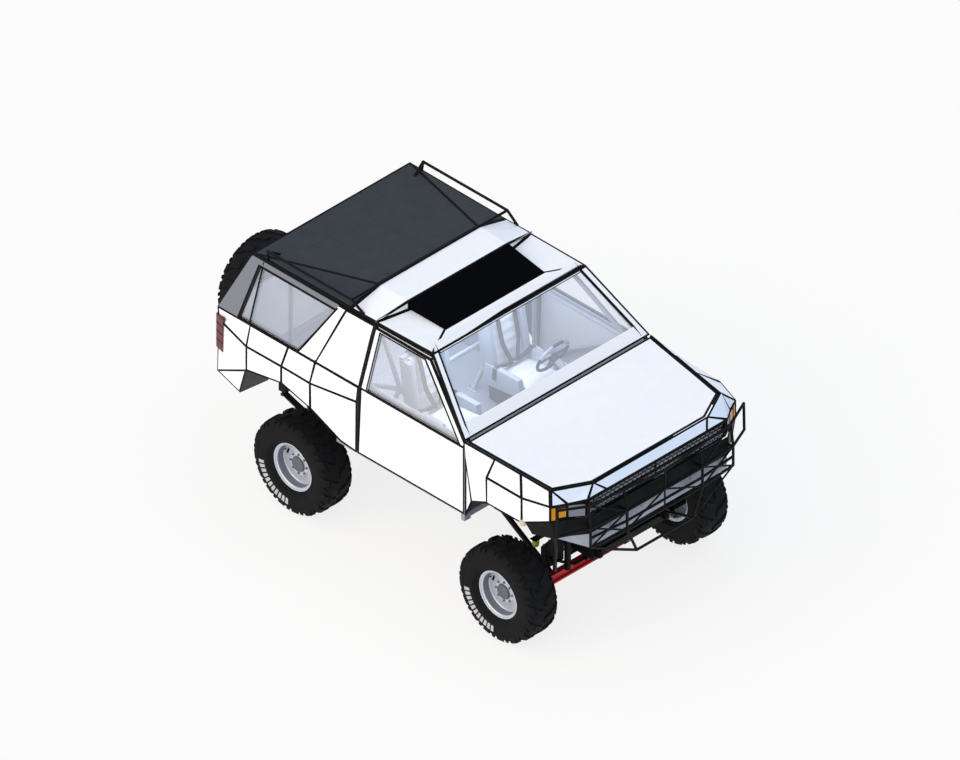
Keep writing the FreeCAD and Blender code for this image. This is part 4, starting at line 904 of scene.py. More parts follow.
def arc_tree() -> NodeTree:
    """Build the tree that sets copies of a shape round an arc about the Z axis."""
    tree, entry, out = open_tree(
        "copies_round_an_arc",
        (("Copies", "NodeSocketInt", 8), ("Radius", "NodeSocketFloat", 0.1),
         ("Sweep", "NodeSocketFloat", 2 * pi), ("Start", "NodeSocketFloat", 0.0),
         ("Shift", "NodeSocketFloat", 0.0), ("Finish", "NodeSocketMaterial", None)))
    index = add_node(tree, "GeometryNodeInputIndex")
    pitch = add_node(tree, "ShaderNodeMath", {"operation": "DIVIDE"},
                     {0: entry.outputs["Sweep"], 1: entry.outputs["Copies"]})
    angle = add_node(tree, "ShaderNodeMath", {"operation": "MULTIPLY_ADD"},
                     {0: index, 1: pitch, 2: entry.outputs["Start"]})
    across = [add_node(tree, "ShaderNodeMath", {"operation": way}, {0: angle}) for way in ("COSINE", "SINE")]
    spots = [add_node(tree, "ShaderNodeMath", {"operation": "MULTIPLY"},
                      {0: part, 1: entry.outputs["Radius"]}) for part in across]
    place = add_node(tree, "ShaderNodeCombineXYZ", None,
                     {0: spots[0], 1: spots[1], 2: entry.outputs["Shift"]})
    points = add_node(tree, "GeometryNodePoints", None, {"Count": entry.outputs["Copies"], "Position": place})
    turn = add_node(tree, "ShaderNodeCombineXYZ", None, {2: angle})
    copies = add_node(tree, "GeometryNodeInstanceOnPoints", None,
                      {"Points": points, "Instance": entry.outputs["Geometry"], "Rotation": turn})
    close_tree(tree, entry, out, copies.outputs[0])
    return tree


def row_tree() -> NodeTree:
    """Build the tree that sets copies of a shape in a straight row."""
    tree, entry, out = open_tree(
        "copies_in_a_row",
        (("Copies", "NodeSocketInt", 8), ("Step", "NodeSocketVector", (0.1, 0.0, 0.0)),
         ("Finish", "NodeSocketMaterial", None)))
    line = add_node(tree, "GeometryNodeMeshLine", {"mode": "OFFSET"},
                    {"Count": entry.outputs["Copies"], "Offset": entry.outputs["Step"]})
    copies = add_node(tree, "GeometryNodeInstanceOnPoints", None,
                      {"Points": line, "Instance": entry.outputs["Geometry"]})
    close_tree(tree, entry, out, copies.outputs[0])
    return tree


def coil_tree() -> NodeTree:
    """Build the tree that winds a wire into a coil about the Z axis, from the origin upwards."""
    tree, entry, out = open_tree(
        "wound_coil",
        (("Turns", "NodeSocketFloat", 8.0), ("Radius", "NodeSocketFloat", 0.06),
         ("Height", "NodeSocketFloat", 0.3), ("Wire", "NodeSocketFloat", 0.006),
         ("Finish", "NodeSocketMaterial", None)))
    line = add_node(
        tree, "GeometryNodeCurveSpiral", None,
        {"Resolution": 20, "Rotations": entry.outputs["Turns"], "Start Radius": entry.outputs["Radius"],
         "End Radius": entry.outputs["Radius"], "Height": entry.outputs["Height"]})
    ring = add_node(tree, "GeometryNodeCurvePrimitiveCircle", {"mode": "RADIUS"},
                    {"Resolution": 8, "Radius": entry.outputs["Wire"]})
    wire = add_node(tree, "GeometryNodeCurveToMesh", None,
                    {"Curve": line, "Profile Curve": ring, "Fill Caps": True})
    close_tree(tree, entry, out, wire.outputs[0])
    return tree


@dataclass
class Trees:
    """The geometry trees that make what repeats."""

    arc: NodeTree = field(default_factory=arc_tree)
    row: NodeTree = field(default_factory=row_tree)
    coil: NodeTree = field(default_factory=coil_tree)

    @staticmethod
    def grow(tree: NodeTree, seed: BMesh | None, inputs: dict[str, object], material: int = 0) -> BMesh:
        """Run a tree on a shape and give plain faces.

        Args:
            tree: The geometry tree.
            seed: The shape that is repeated, or None where the tree makes its own; it is freed.
            inputs: Values of the tree's named inputs.
            material: Material index of the grown faces in the piece that gets them.

        Returns:
            The grown faces in a new mesh.
        """
        mesh = bpy.data.meshes.new("seed")
        if seed is not None:
            seed.to_mesh(mesh)
            seed.free()
        holder = bpy.data.objects.new("seed", mesh)
        bpy.context.scene.collection.objects.link(holder)
        modifier = holder.modifiers.new("grow", "NODES")
        modifier.node_group = tree
        sockets = {s.name: s.identifier for s in tree.interface.items_tree if s.in_out == "INPUT"}
        for name, value in inputs.items():
            modifier[sockets[name]] = value.material() if isinstance(value, Finish) else value
        graph = bpy.context.evaluated_depsgraph_get()
        grown = bpy.data.meshes.new_from_object(holder.evaluated_get(graph), depsgraph=graph)
        holder.modifiers.clear()
        bm = bmesh.new()
        bm.from_mesh(grown)
        for face in bm.faces:
            face.material_index = material
        for old in (grown, mesh):
            bpy.data.meshes.remove(old)
        return bm


# ---------------------------------------------------------------- wheels

# Outward direction of each road wheel.
WHEEL_CORNERS = {f"{end}_{word}": Vector((0, side, 0)) for end in ("front", "rear")
                 for word, side in SIDES.items()}


def wheel_place(centre: Vector, axle: Vector) -> Matrix:
    """Give the matrix that stands a wheel, made round the Z axis, in its place.

    Args:
        centre: The wheel's middle.
        axle: Direction from the vehicle out through the wheel's face.

    Returns:
        The placing matrix, with the wheel's X axis forward or across.
    """
    forward = Vector((1, 0, 0)) if abs(axle.x) < 0.5 else Vector((0, 1, 0))
    return Matrix.Translation(centre) @ Matrix((forward, Vector((0, 0, 1)), axle)).transposed().to_4x4()


@dataclass
class Wheels:
    """Five mud tyres on deep silver rims.

    Attributes:
        trees: The geometry trees.
        radius: Outside radius over the tread blocks.
        block_height: Height of a tread block over the casing.
        pitches: Tread blocks round each row.
        half_width: Half the width over the sidewalls.
        bar_count: Plain white bars on the outer sidewall.
    """

    trees: Trees
    radius: float = 0.4763
    block_height: float = 0.018
    pitches: int = 16
    half_width: float = 0.1772
    bar_count: int = 11
    # Radius and half width of the casing, from the crown over the shoulder to the bead.
    section: tuple[tuple[float, float], ...] = (
        (0.4763, 0.0), (0.476, 0.06), (0.474, 0.11), (0.468, 0.14), (0.454, 0.16), (0.432, 0.17),
        (0.4, 0.174), (0.365, 0.1745), (0.325, 0.1738), (0.29, 0.168), (0.268, 0.159), (0.256, 0.146))

    def casing(self, bm: BMesh) -> None:
        """Turn the casing, with the tread's ground below its blocks and slim ribs on the sidewall."""
        crown = []
        for radius, half in self.section:
            drop = self.block_height * min(max((radius - 0.405) / 0.04, 0.0), 1.0)
            crown.append((radius - drop, half - drop * 0.25 * (half > 0.12)))
        ribbed = []
        for radius, half in crown:
            ribbed.append((radius, half))
            if abs(radius - 0.29) < 0.001 or abs(radius - 0.4) < 0.006:
                ribbed += [(radius - 0.003, half + 0.0022), (radius - 0.008, half + 0.0024),
                           (radius - 0.011, half - 0.0006)]
        outer = [(r, -h) for r, h in reversed(ribbed)] + ribbed[1:]
        inner = [(0.235, 0.128), (0.262, 0.132), (0.33, 0.156), (0.4, 0.15), (0.436, 0.11), (0.442, 0.0)]
        profile = outer + inner + [(r, -h) for r, h in reversed(inner[:-1])]
        add_turned(bm, profile, ORIGIN, UP, 72)

    def block(self, start: float, end: float, width: float, lean: float) -> BMesh:
        """Shape one tread block that follows the casing from the crown towards the sidewall.

        Args:
            start: Place along the section where it begins, from 0 at the crown to 1.
            end: Place along the section where it ends.
            width: Its width round the tyre.
            lean: How far its outer end leads its inner end.

        Returns:
            The block, at the start of the ring about the Z axis.
        """
        bm = bmesh.new()
        last = len(self.section) - 1
        steps = 6
        rows = []
        for step in range(steps + 1):
            share = step / steps
            spot = (start + (end - start) * share) * last
            low = min(int(spot), last - 1)
            part = spot - low
            radius = self.section[low][0] * (1 - part) + self.section[low + 1][0] * part
            half = self.section[low][1] * (1 - part) + self.section[low + 1][1] * part
            middle = lean * (share - 0.5) + 0.006 * sin(share * 9.0)
            wide = width * (0.85 + 0.3 * share) / 2
            row = []
            for layer, side in ((0, -1), (1, -1), (1, 1), (0, 1)):
                edge = step in (0, steps)
                ease = 0.0035 if layer and edge else 0.0
                out = radius - (ease if layer else self.block_height + 0.004)
                turn = (middle + side * (wide - (0.0035 if layer else 0.0))) / self.radius
                across = half - (0.004 if not layer else 0.0) * (share > 0.5)
                row.append(bm.verts.new((out * cos(turn), out * sin(turn), across)))
            rows.append(row)
        for low, high in zip(rows, rows[1:]):
            for place in range(3):
                bm.faces.new((low[place], high[place], high[place + 1], low[place + 1]))
            bm.faces.new((low[3], high[3], high[0], low[0]))
        bm.faces.new(rows[0])
        bm.faces.new(rows[-1][::-1])
        bmesh.ops.recalc_face_normals(bm, faces=bm.faces)
        return bm

    def tread(self, bm: BMesh) -> None:
        """Lay staggered rows of tread blocks on both halves of the casing."""
        pitch = 2 * pi / self.pitches
        rows = ((0.01, 0.2, 0.074, 0.06, 0.0), (0.225, 0.56, 0.084, 0.05, 0.36),
                (0.3, 0.5, 0.034, 0.02, 0.86))
        for side in SIDES.values():
            for start, end, width, lean, offset in rows:
                seed = self.block(start, end, width, lean)
                if side < 0:
                    bmesh.ops.scale(seed, vec=(1, 1, -1), verts=seed.verts)
                    bmesh.ops.recalc_face_normals(seed, faces=seed.faces)
                shift = offset + (0.0 if side > 0 else 0.5)
                join_into(bm, self.trees.grow(self.trees.arc, seed, {
                    "Copies": self.pitches, "Radius": 0.0, "Start": shift * pitch,
                    "Finish": TYRE}, 0))

    def bars(self, bm: BMesh) -> None:
        """Lay an arc of plain white bars on the outer sidewall."""
        seed = bmesh.new()
        corners = [Vector(c)
                   for c in ((-0.031, -0.013, -0.006), (0.031, -0.0175, -0.006), (0.031, 0.0175, -0.006),
                             (-0.031, 0.013, -0.006))]
        add_block(seed, corners, (0, 0, 0.0085), 0, 0.0012)
        join_into(bm, self.trees.grow(self.trees.arc, seed, {
            "Copies": self.bar_count, "Radius": 0.352, "Start": radians(193),
            "Sweep": radians(80), "Shift": self.half_width - 0.0028,
            "Finish": TYRE_WHITE}, 1))

    def tyre(self, shop: Workshop, node: str, name: str, axle: Vector) -> None:
        """Build one tyre in its CAD node's place.

        Args:
            shop: The frame and fixings.
            node: The tyre's CAD node.
            name: The piece's name.
            axle: Direction from the vehicle out through the wheel's face.
        """
        bm = bmesh.new()
        self.casing(bm)
        self.tread(bm)
        self.bars(bm)
        bmesh.ops.transform(bm, matrix=wheel_place(shop.middle(node), axle), verts=bm.verts)
        shop.fit(name, bm, (TYRE, TYRE_WHITE), node, 32.0, stands_for=(node,))

    def build(self, shop: Workshop) -> None:
        """Build all five tyres."""
        for corner, axle in WHEEL_CORNERS.items():
            self.tyre(shop, f"tyre_{corner}", f"mud_tyre_{corner}", axle)
        self.tyre(shop, "spare_tyre", "mud_tyre_spare", Vector((-1, 0, 0)))


@dataclass
class Rims:
    """Deep silver rims with a broad rolled lip, a shaded barrel, a pale cone, a hub and a ring of nuts.

    Attributes:
        trees: The geometry trees.
        nuts: Wheel nuts round the hub.
        nut_circle: Radius of their circle.
        slot_angle: Place of the valve's slot round the wheel, in degrees.
        shaded: Steps of the profile that form the barrel's wall.
        profile: Radius and distance outwards from the wheel's middle, round the whole section.
    """

    trees: Trees
    nuts: int = 8
    nut_circle: float = 0.098
    slot_angle: float = 159.0
    shaded: tuple[int, ...] = (11, 12, 13)
    profile: tuple[tuple[float, float], ...] = (
        (0.0, 0.0735), (0.062, 0.0735), (0.07, 0.07), (0.073, 0.062), (0.076, 0.0545), (0.081, 0.05),
        (0.11, 0.049), (0.12, 0.041), (0.165, 0.0315), (0.18, 0.031), (0.196, 0.034), (0.203, 0.042),
        (0.203, 0.098), (0.2035, 0.106), (0.208, 0.111), (0.242, 0.1325), (0.2515, 0.1348), (0.2538, 0.131),
        (0.253, 0.1265), (0.2225, 0.1255), (0.221, 0.09), (0.215, 0.075), (0.215, -0.09), (0.2225, -0.1255),
        (0.253, -0.1265), (0.2538, -0.131), (0.2515, -0.1348), (0.238, -0.133), (0.213, -0.115),
        (0.209, 0.008), (0.188, 0.029), (0.062, 0.029), (0.06, 0.0085), (0.0322, 0.0085), (0.0322, 0.05),
        (0.0, 0.05))

    def nut(self) -> BMesh:
        """Shape one hexagonal nut with its chamfer and stud."""
        bm = bmesh.new()
        ring = [Vector((0.0115 * cos(a), 0.0115 * sin(a), 0.048))
                for a in (radians(60 * step) for step in range(6))]
        add_block(bm, ring, (0, 0, 0.013), 0, 0.0018)
        add_turned(bm, ((0.0, 0.05), (0.0062, 0.05), (0.0062, 0.0655), (0.0, 0.0665)), ORIGIN, UP, 10)
        return bm

    def slot(self, bm: BMesh) -> None:
        """Lay a black block in the cone as painted shade of the valve's slot, and stand the valve in it."""
        turn = Matrix.Rotation(radians(self.slot_angle), 4, "Z")
        # The black block is painted shade of the slot's recess.
        add_block(bm,
                  [turn @ Vector((0.15, -0.03, 0.028)), turn @ Vector((0.174, -0.03, 0.028)),
                   turn @ Vector((0.174, 0.03, 0.028)), turn @ Vector((0.15, 0.03, 0.028))], (0, 0, 0.007), 3,
                  0.002)
        add_turned(bm, ((0.0, 0.03), (0.005, 0.03), (0.005, 0.056), (0.0, 0.058)),
                   turn @ Vector((0.19, 0, 0)), (0, 0, 1), 10, 3)

    def rim(self, shop: Workshop, node: str, name: str, axle: Vector) -> None:
        """Build one rim in its CAD node's place.

        Args:
            shop: The frame and fixings.
            node: The rim's CAD node.
            name: The piece's name.
            axle: Direction from the vehicle out through the wheel's face.
        """
        bm = bmesh.new()
        last_cap = 4
        add_turned(bm, self.profile, ORIGIN, UP, 72,
                   lambda step: 4 if step < last_cap else 2 if step in self.shaded else 0, looped=False)
        join_into(bm, self.trees.grow(self.trees.arc, self.nut(), {
            "Copies": self.nuts, "Radius": self.nut_circle, "Finish": ZINC}, 1))
        self.slot(bm)
        bmesh.ops.transform(bm, matrix=wheel_place(shop.middle(node), axle), verts=bm.verts)
        shop.fit(name, bm, (RIM, ZINC, RIM_SHADE, POWDER, HUB), node, 34.0, stands_for=(node,))

    def build(self, shop: Workshop) -> None:
        """Build all five rims."""
        for corner, axle in WHEEL_CORNERS.items():
            self.rim(shop, f"rim_{corner}", f"deep_rim_{corner}", axle)
        self.rim(shop, "spare_rim", "deep_rim_spare", Vector((-1, 0, 0)))


# ---------------------------------------------------------------- lamps and grille

def add_plan_block(bm: BMesh, start: Vector, end: Vector, low: float, high: float, lead: float, depth: float,
                   material: int = 0, round_off: float = 0.0) -> None:
    """Stand a block along a stretch of the front, seen from above.

    Args:
        bm: Mesh that gets the block.
        start: Plan point where the stretch begins.
        end: Plan point where it ends.
        low: Height of its lower face.
        high: Height of its upper face.
        lead: How far its face stands forward of the stretch.
        depth: How far it reaches back from its face.
        material: Material index of its faces.
        round_off: Width of the rounding on its edges.
    """
    corners = [Vector((start.x + lead, start.y, low)), Vector((end.x + lead, end.y, low)),
               Vector((end.x + lead - depth, end.y, low)), Vector((start.x + lead - depth, start.y, low))]
    add_block(bm, corners, (0, 0, high - low), material, round_off)


@dataclass
class FrontLamps:
    """A headlamp and a two-pane corner lamp on each side, in black housings along the nose.

    Attributes:
        corner: Plan point of the fender's front edge.
        turn: Plan point between the two lamps.
        nose: Plan point where the headlamp ends.
        low: Height of the housings' lower face.
        high: Height of their upper face.
    """

    corner: tuple[float, float] = (2.144, 1.159)
    turn: tuple[float, float] = (2.218, 1.015)
    nose: tuple[float, float] = (2.326, 0.874)
    low: float = 1.555
    high: float = 1.706
    # Share of the stretch where a pane starts and ends, and its heights over the lower face.
    amber_panes: tuple[tuple[float, float, float, float], ...] = (
        (0.07, 0.32, 0.004, 0.146), (0.52, 0.93, 0.022, 0.116), (0.46, 0.95, 0.134, 0.145))
    clear_panes: tuple[tuple[float, float, float, float], ...] = (
        (0.1, 0.9, 0.016, 0.092), (0.1, 0.9, 0.104, 0.138))

    def lamp(self, shop: Workshop, node: str, name: str, side: int, ends: Sequence[tuple[float, float]],
             panes: Sequence[tuple[float, float, float, float]], lens: Finish) -> Object:
        """Build one lamp: housing and panes.

        Args:
            shop: The frame and fixings.
            node: CAD node whose body it rides on.
            name: The piece's name.
            side: -1 for the right side, 1 for the left side.
            ends: Plan points of the stretch that it fills.
            panes: Where its panes stand.
            lens: Finish of its panes.
        """
        bm = bmesh.new()
        start, end = (Vector((x, side * y, 0)) for x, y in ends)
        margin = (end - start).normalized() * 0.005
        add_plan_block(bm, start + margin, end - margin, self.low, self.high, -0.018, 0.048, 0, 0.003)
        for one, two, low, high in panes:
            near, far = start.lerp(end, one), start.lerp(end, two)
            add_plan_block(bm, near, far, self.low + low, self.low + high, -0.009, 0.016, 1, 0.0025)
        return shop.fit(name, bm, (POWDER, lens), node)

    def build(self, shop: Workshop) -> None:
        """Build the four front lamps."""
        for word, side in SIDES.items():
            head = self.lamp(shop, "headlamps", f"headlamp_{word}", side, (self.turn, self.nose),
                             self.clear_panes, LENS_CLEAR)
            amber = self.lamp(shop, "corner_lamps", f"corner_lamp_{word}", side, (self.corner, self.turn),
                              self.amber_panes, LENS_AMBER)
            if side == LEFT:
                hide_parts("headlamps")
                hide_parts("corner_lamps")


@dataclass
class Grille:
    """A black grille with a frame, level bars and two rows of short slats, whose pale grey is painted
    highlight.

    Attributes:
        trees: The geometry trees.
        slats: Slats in each row.
        slat_rows: Heights of the rows' middles.
    """

    trees: Trees
    slats: int = 30
    slat_rows: tuple[float, ...] = (1.69, 1.652, 1.598, 1.572)

    def build(self, shop: Workshop) -> None:
        """Build the grille in its CAD node's place."""
        low, high = shop.box("grille")
        face = high.x
        bm = bmesh.new()
        left, right = Vector((face, high.y - 0.002, 0)), Vector((face, low.y + 0.002, 0))
        add_plan_block(bm, left, right, low.z + 0.002, high.z - 0.002, -0.036, 0.022)
        for base, top in ((low.z + 0.001, low.z + 0.018), (high.z - 0.028, high.z - 0.001), (1.612, 1.636)):
            add_plan_block(bm, left, right, base, top, -0.001, 0.04, 0, 0.003)
        for side in (left, right, (left + right) / 2):
            inward = Vector((0, 0.016 if side is right else -0.016, 0))
            add_plan_block(bm, side, side + inward, low.z + 0.004, high.z - 0.004, -0.003, 0.04, 0, 0.003)
        pitch = (left.y - right.y - 0.06) / self.slats
        # The slats' pale grey is painted highlight, standing for glints on the grille's mesh.
        for row, level in enumerate(self.slat_rows):
            seed = bmesh.new()
            start = left + Vector((-0.01, -0.034 - (row % 2) * pitch * 0.3, 0))
            add_plan_block(seed, start, start + Vector((0, -pitch * 0.72, 0)), level - 0.007, level + 0.007,
                           0.0, 0.018, 0, 0.002)
            join_into(bm, self.trees.grow(self.trees.row, seed, {
                "Copies": self.slats, "Step": (0.0, -pitch, 0.0), "Finish": PALE_TICK_AND_GLINT}, 1))
        shop.fit("slatted_grille", bm, (POWDER, PALE_TICK_AND_GLINT), "grille", stands_for=("grille",))


@dataclass
class TailLamps:
    """Red tail lamps with black dividers across them.

    Attributes:
        trees: The geometry trees.
        dividers: Dividers across each lamp.
    """

    trees: Trees
    dividers: int = 3

    def build(self, shop: Workshop) -> None:
        """Fit the dividers on the CAD lamps, which keep their shape."""
        low, high = shop.box("tail_lamps")
        bm = bmesh.new()
        pitch = (high.z - low.z) / (self.dividers + 1)
        for side in SIDES.values():
            plan = [(low.x - 0.0015, 1.1005), (low.x - 0.0015, 1.1495), (high.x - 0.002, 1.1775),
                    (high.x - 0.002, 1.15), (low.x + 0.02, 1.106)]
            seed = bmesh.new()
            base = low.z + pitch - 0.005
            add_block(seed, [Vector((x, side * y, base)) for x, y in plan], (0, 0, 0.01), 0, 0.001)
            join_into(bm, self.trees.grow(self.trees.row, seed, {
                "Copies": self.dividers, "Step": (0.0, 0.0, pitch), "Finish": POWDER}))
        shop.fit("tail_lamp_dividers", bm, (POWDER,), "tail_lamps")
        shop.dress_node("tail_lamps", LENS_RED)


# ---------------------------------------------------------------- cab

def add_pad(bm: BMesh, corners: Sequence[Vector], depth: float, crown: float, seams: Sequence[float] = (),
            material: int = 0) -> None:
    """Stuff a pad: a crowned face with sewn seams across it, over a flat back.

    Args:
        bm: Mesh that gets the pad.
        corners: The face's corners, anticlockwise from outside.
        depth: Distance from the face's edge to its back.
        crown: How far the middle stands over the edge.
        seams: Shares of the pad's length at which it is sewn down.
        material: Material index of its faces.
    """
    one, two, three, four = corners
    out = (two - one).cross(four - one).normalized()
    across, along = 12, 22
    grid = []
    for row in range(along + 1):
        length = row / along
        sewn = max((exp(-((length - seam) * 34) ** 2) for seam in seams), default=0.0)
        line = []
        for column in range(across + 1):
            width = column / across
            swell = (1 - abs(2 * width - 1) ** 5) * (1 - abs(2 * length - 1) ** 7)
            spot = one.lerp(two, width).lerp(four.lerp(three, width), length)
            line.append(bm.verts.new(spot + out * crown * swell * (1 - 0.5 * sewn)))
        grid.append(line)
    faces = [(low[i], low[i + 1], high[i + 1], high[i]) for low, high in zip(grid, grid[1:])
             for i in range(across)]
    rim = (grid[0] + [line[-1] for line in grid[1:]] + grid[-1][-2::-1] + [line[0] for line in grid[-2:0:-1]])
    back = [bm.verts.new(v.co - out * depth) for v in rim]
    for place in range(len(rim)):
        after = (place + 1) % len(rim)
        faces.append((rim[after], rim[place], back[place], back[after]))
    faces.append(back[::-1])
    for face in faces:
        bm.faces.new(face).material_index = material


def add_strap(bm: BMesh, path: Sequence[Point], across: Point, thick: float = 0.003,
              material: int = 0) -> None:
    """Lay a flat strap along a path.

    Args:
        bm: Mesh that gets the strap.
        path: Its centre line.
        across: Its width as a vector from the middle to one edge.
        thick: Its thickness.
        material: Material index of its faces.
    """
    path, across = [Vector(point) for point in path], Vector(across)
    rings = []
    for place, point in enumerate(path):
        way = path[min(place + 1, len(path) - 1)] - path[max(place - 1, 0)]
        lift = across.cross(way).normalized() * thick / 2
        rings.append([bm.verts.new(point + side * across + top * lift)
                      for side, top in ((-1, -1), (1, -1), (1, 1), (-1, 1))])
    for low, high in zip(rings, rings[1:]):
        for place in range(4):
            after = (place + 1) % 4
            bm.faces.new((low[place], low[after], high[after], high[place])).material_index = material
    for ring in (rings[0][::-1], rings[-1]):
        bm.faces.new(ring).material_index = material


@dataclass
class Seats:
    """Two bucket seats with crowned cushions, rolled bolsters and a four-point harness.

    Attributes:
        out: Distance of a seat's middle from the middle of the cab.
        half: Half a seat's width.
        wing: Width of a side bolster.
        seat_seams: Shares of the cushion's length at which it is sewn.
        back_seams: Shares of the back's height at which it is sewn.
    """

    out: float = 0.48
    half: float = 0.25
    wing: float = 0.062
    seat_seams: tuple[float, ...] = (0.22, 0.48, 0.74)
    back_seams: tuple[float, ...] = (0.16, 0.34, 0.52, 0.7, 0.86)

    def profile_block(self, bm: BMesh, middle: float, width: float, side_view: Sequence[tuple[float, float]],
                      material: int, round_off: float) -> None:
        """Sweep a side view across the seat.

        Args:
            bm: Mesh that gets the block.
            middle: Its middle across the cab.
            width: Its width.
            side_view: Its outline in X and Z.
            material: Material index of its faces.
            round_off: Width of the rounding on its edges.
        """
        corners = [Vector((x, middle - width / 2, z)) for x, z in side_view]
        add_block(bm, corners, (0, width, 0), material, round_off)

    def pad(self, bm: BMesh, middle: float, half: float, near: tuple[float, float], far: tuple[float, float],
            depth: float, crown: float, seams: Sequence[float]) -> None:
        """Stuff a pad between two levels of the seat's side view."""
        (near_x, near_z), (far_x, far_z) = near, far
        corners = [Vector((near_x, middle - half, near_z)), Vector((near_x, middle + half, near_z)),
                   Vector((far_x, middle + half, far_z)), Vector((far_x, middle - half, far_z))]
        add_pad(bm, corners, depth, crown, seams)

    def cushion(self, middle: float) -> BMesh:
        """Shape the cushion and its bolsters."""
        bm = bmesh.new()
        self.pad(bm, middle, self.half - self.wing, (0.4, 1.402), (-0.095, 1.35), 0.11, 0.036,
                 self.seat_seams)
        for way in SIDES.values():
            self.profile_block(bm, middle + way * (self.half - self.wing / 2), self.wing,
                               ((0.385, 1.3), (0.35, 1.484), (-0.07, 1.478), (-0.1, 1.245)), 1, 0.024)
        return bm

    def back_rest(self, middle: float) -> BMesh:
        """Shape the back, its bolsters and its head rest."""
        bm = bmesh.new()
        self.pad(bm, middle, self.half - self.wing - 0.01, (-0.018, 1.4), (-0.112, 1.94), 0.07, 0.036,
                 self.back_seams)
        self.profile_block(bm, middle, 2 * self.half - 0.05,
                           ((-0.112, 1.245), (-0.06, 1.3), (-0.155, 1.945), (-0.206, 1.945)), 1, 0.018)
        for way in SIDES.values():
            self.profile_block(bm, middle + way * (self.half - self.wing / 2 - 0.012), self.wing,
                               ((-0.11, 1.33), (0.04, 1.4), (-0.052, 1.925), (-0.195, 1.925)), 1, 0.026)
        self.pad(bm, middle, 0.115, (-0.112, 1.975), (-0.136, 2.14), 0.05, 0.018, (0.5,))
        self.profile_block(bm, middle, 0.252,
                           ((-0.205, 1.952), (-0.118, 1.955), (-0.142, 2.157), (-0.224, 2.157)), 1, 0.022)
        return bm

    def harness(self, middle: float) -> BMesh:
        """Lay the shoulder and lap straps with their buckle."""
        bm = bmesh.new()
        shoulder = ((-0.222, 1.78), (-0.216, 1.952), (-0.18, 1.962), (-0.09, 1.958), (-0.05, 1.88),
                    (0.006, 1.64), (0.042, 1.5), (0.062, 1.446))
        for way in SIDES.values():
            path = [Vector((x, middle + way * (0.105 if x < 0 else 0.105 - x * 1.2), z)) for x, z in shoulder]
            add_strap(bm, path, (0, 0.024, 0))
        lap = ((-0.262, 1.36), (-0.252, 1.47), (-0.215, 1.492), (-0.17, 1.468), (-0.1, 1.44), (0.0, 1.436))
        for way in SIDES.values():
            add_strap(bm, [Vector((0.06, middle + way * -y, z)) for y, z in lap], (0.024, 0, 0))
        add_turned(bm, ((0.0, 0.0), (0.03, 0.0), (0.03, 0.012), (0.024, 0.017), (0.0, 0.017)),
                   (0.064, middle, 1.436), (0, 0, 1), 24, 1)
        return bm

    def mounts(self, middle: float) -> BMesh:
        """Shape the seat's box and runners."""
        bm = bmesh.new()
        self.profile_block(bm, middle, 2 * self.half - 0.12,
                           ((-0.07, 1.085), (0.33, 1.085), (0.35, 1.3), (-0.085, 1.262)), 0, 0.01)
        for way in SIDES.values():
            self.profile_block(bm, middle + way * 0.165, 0.036,
                               ((-0.076, 1.051), (0.342, 1.051), (0.342, 1.088), (-0.076, 1.088)), 0, 0.003)
        return bm

    def build(self, shop: Workshop) -> None:
        """Build both seats in the CAD seats' place."""
        first = True
        for word, side in SIDES.items():
            middle = side * self.out
            body = shop.body("seats")
            for name, bm, finishes, soft in (
                    ("seat_cushion", self.cushion(middle), (FABRIC, BOLSTER), True),
                    ("seat_back", self.back_rest(middle), (FABRIC, BOLSTER), True),
                    ("seat_harness", self.harness(middle), (WEBBING, ZINC), False),
                    ("seat_mounts", self.mounts(middle), (POWDER,), False)):
                item = from_bmesh(f"{name}_{word}", bm, finishes, 40.0)
                shop.finished(item, body, ("seats",) if first else ())
                first = False


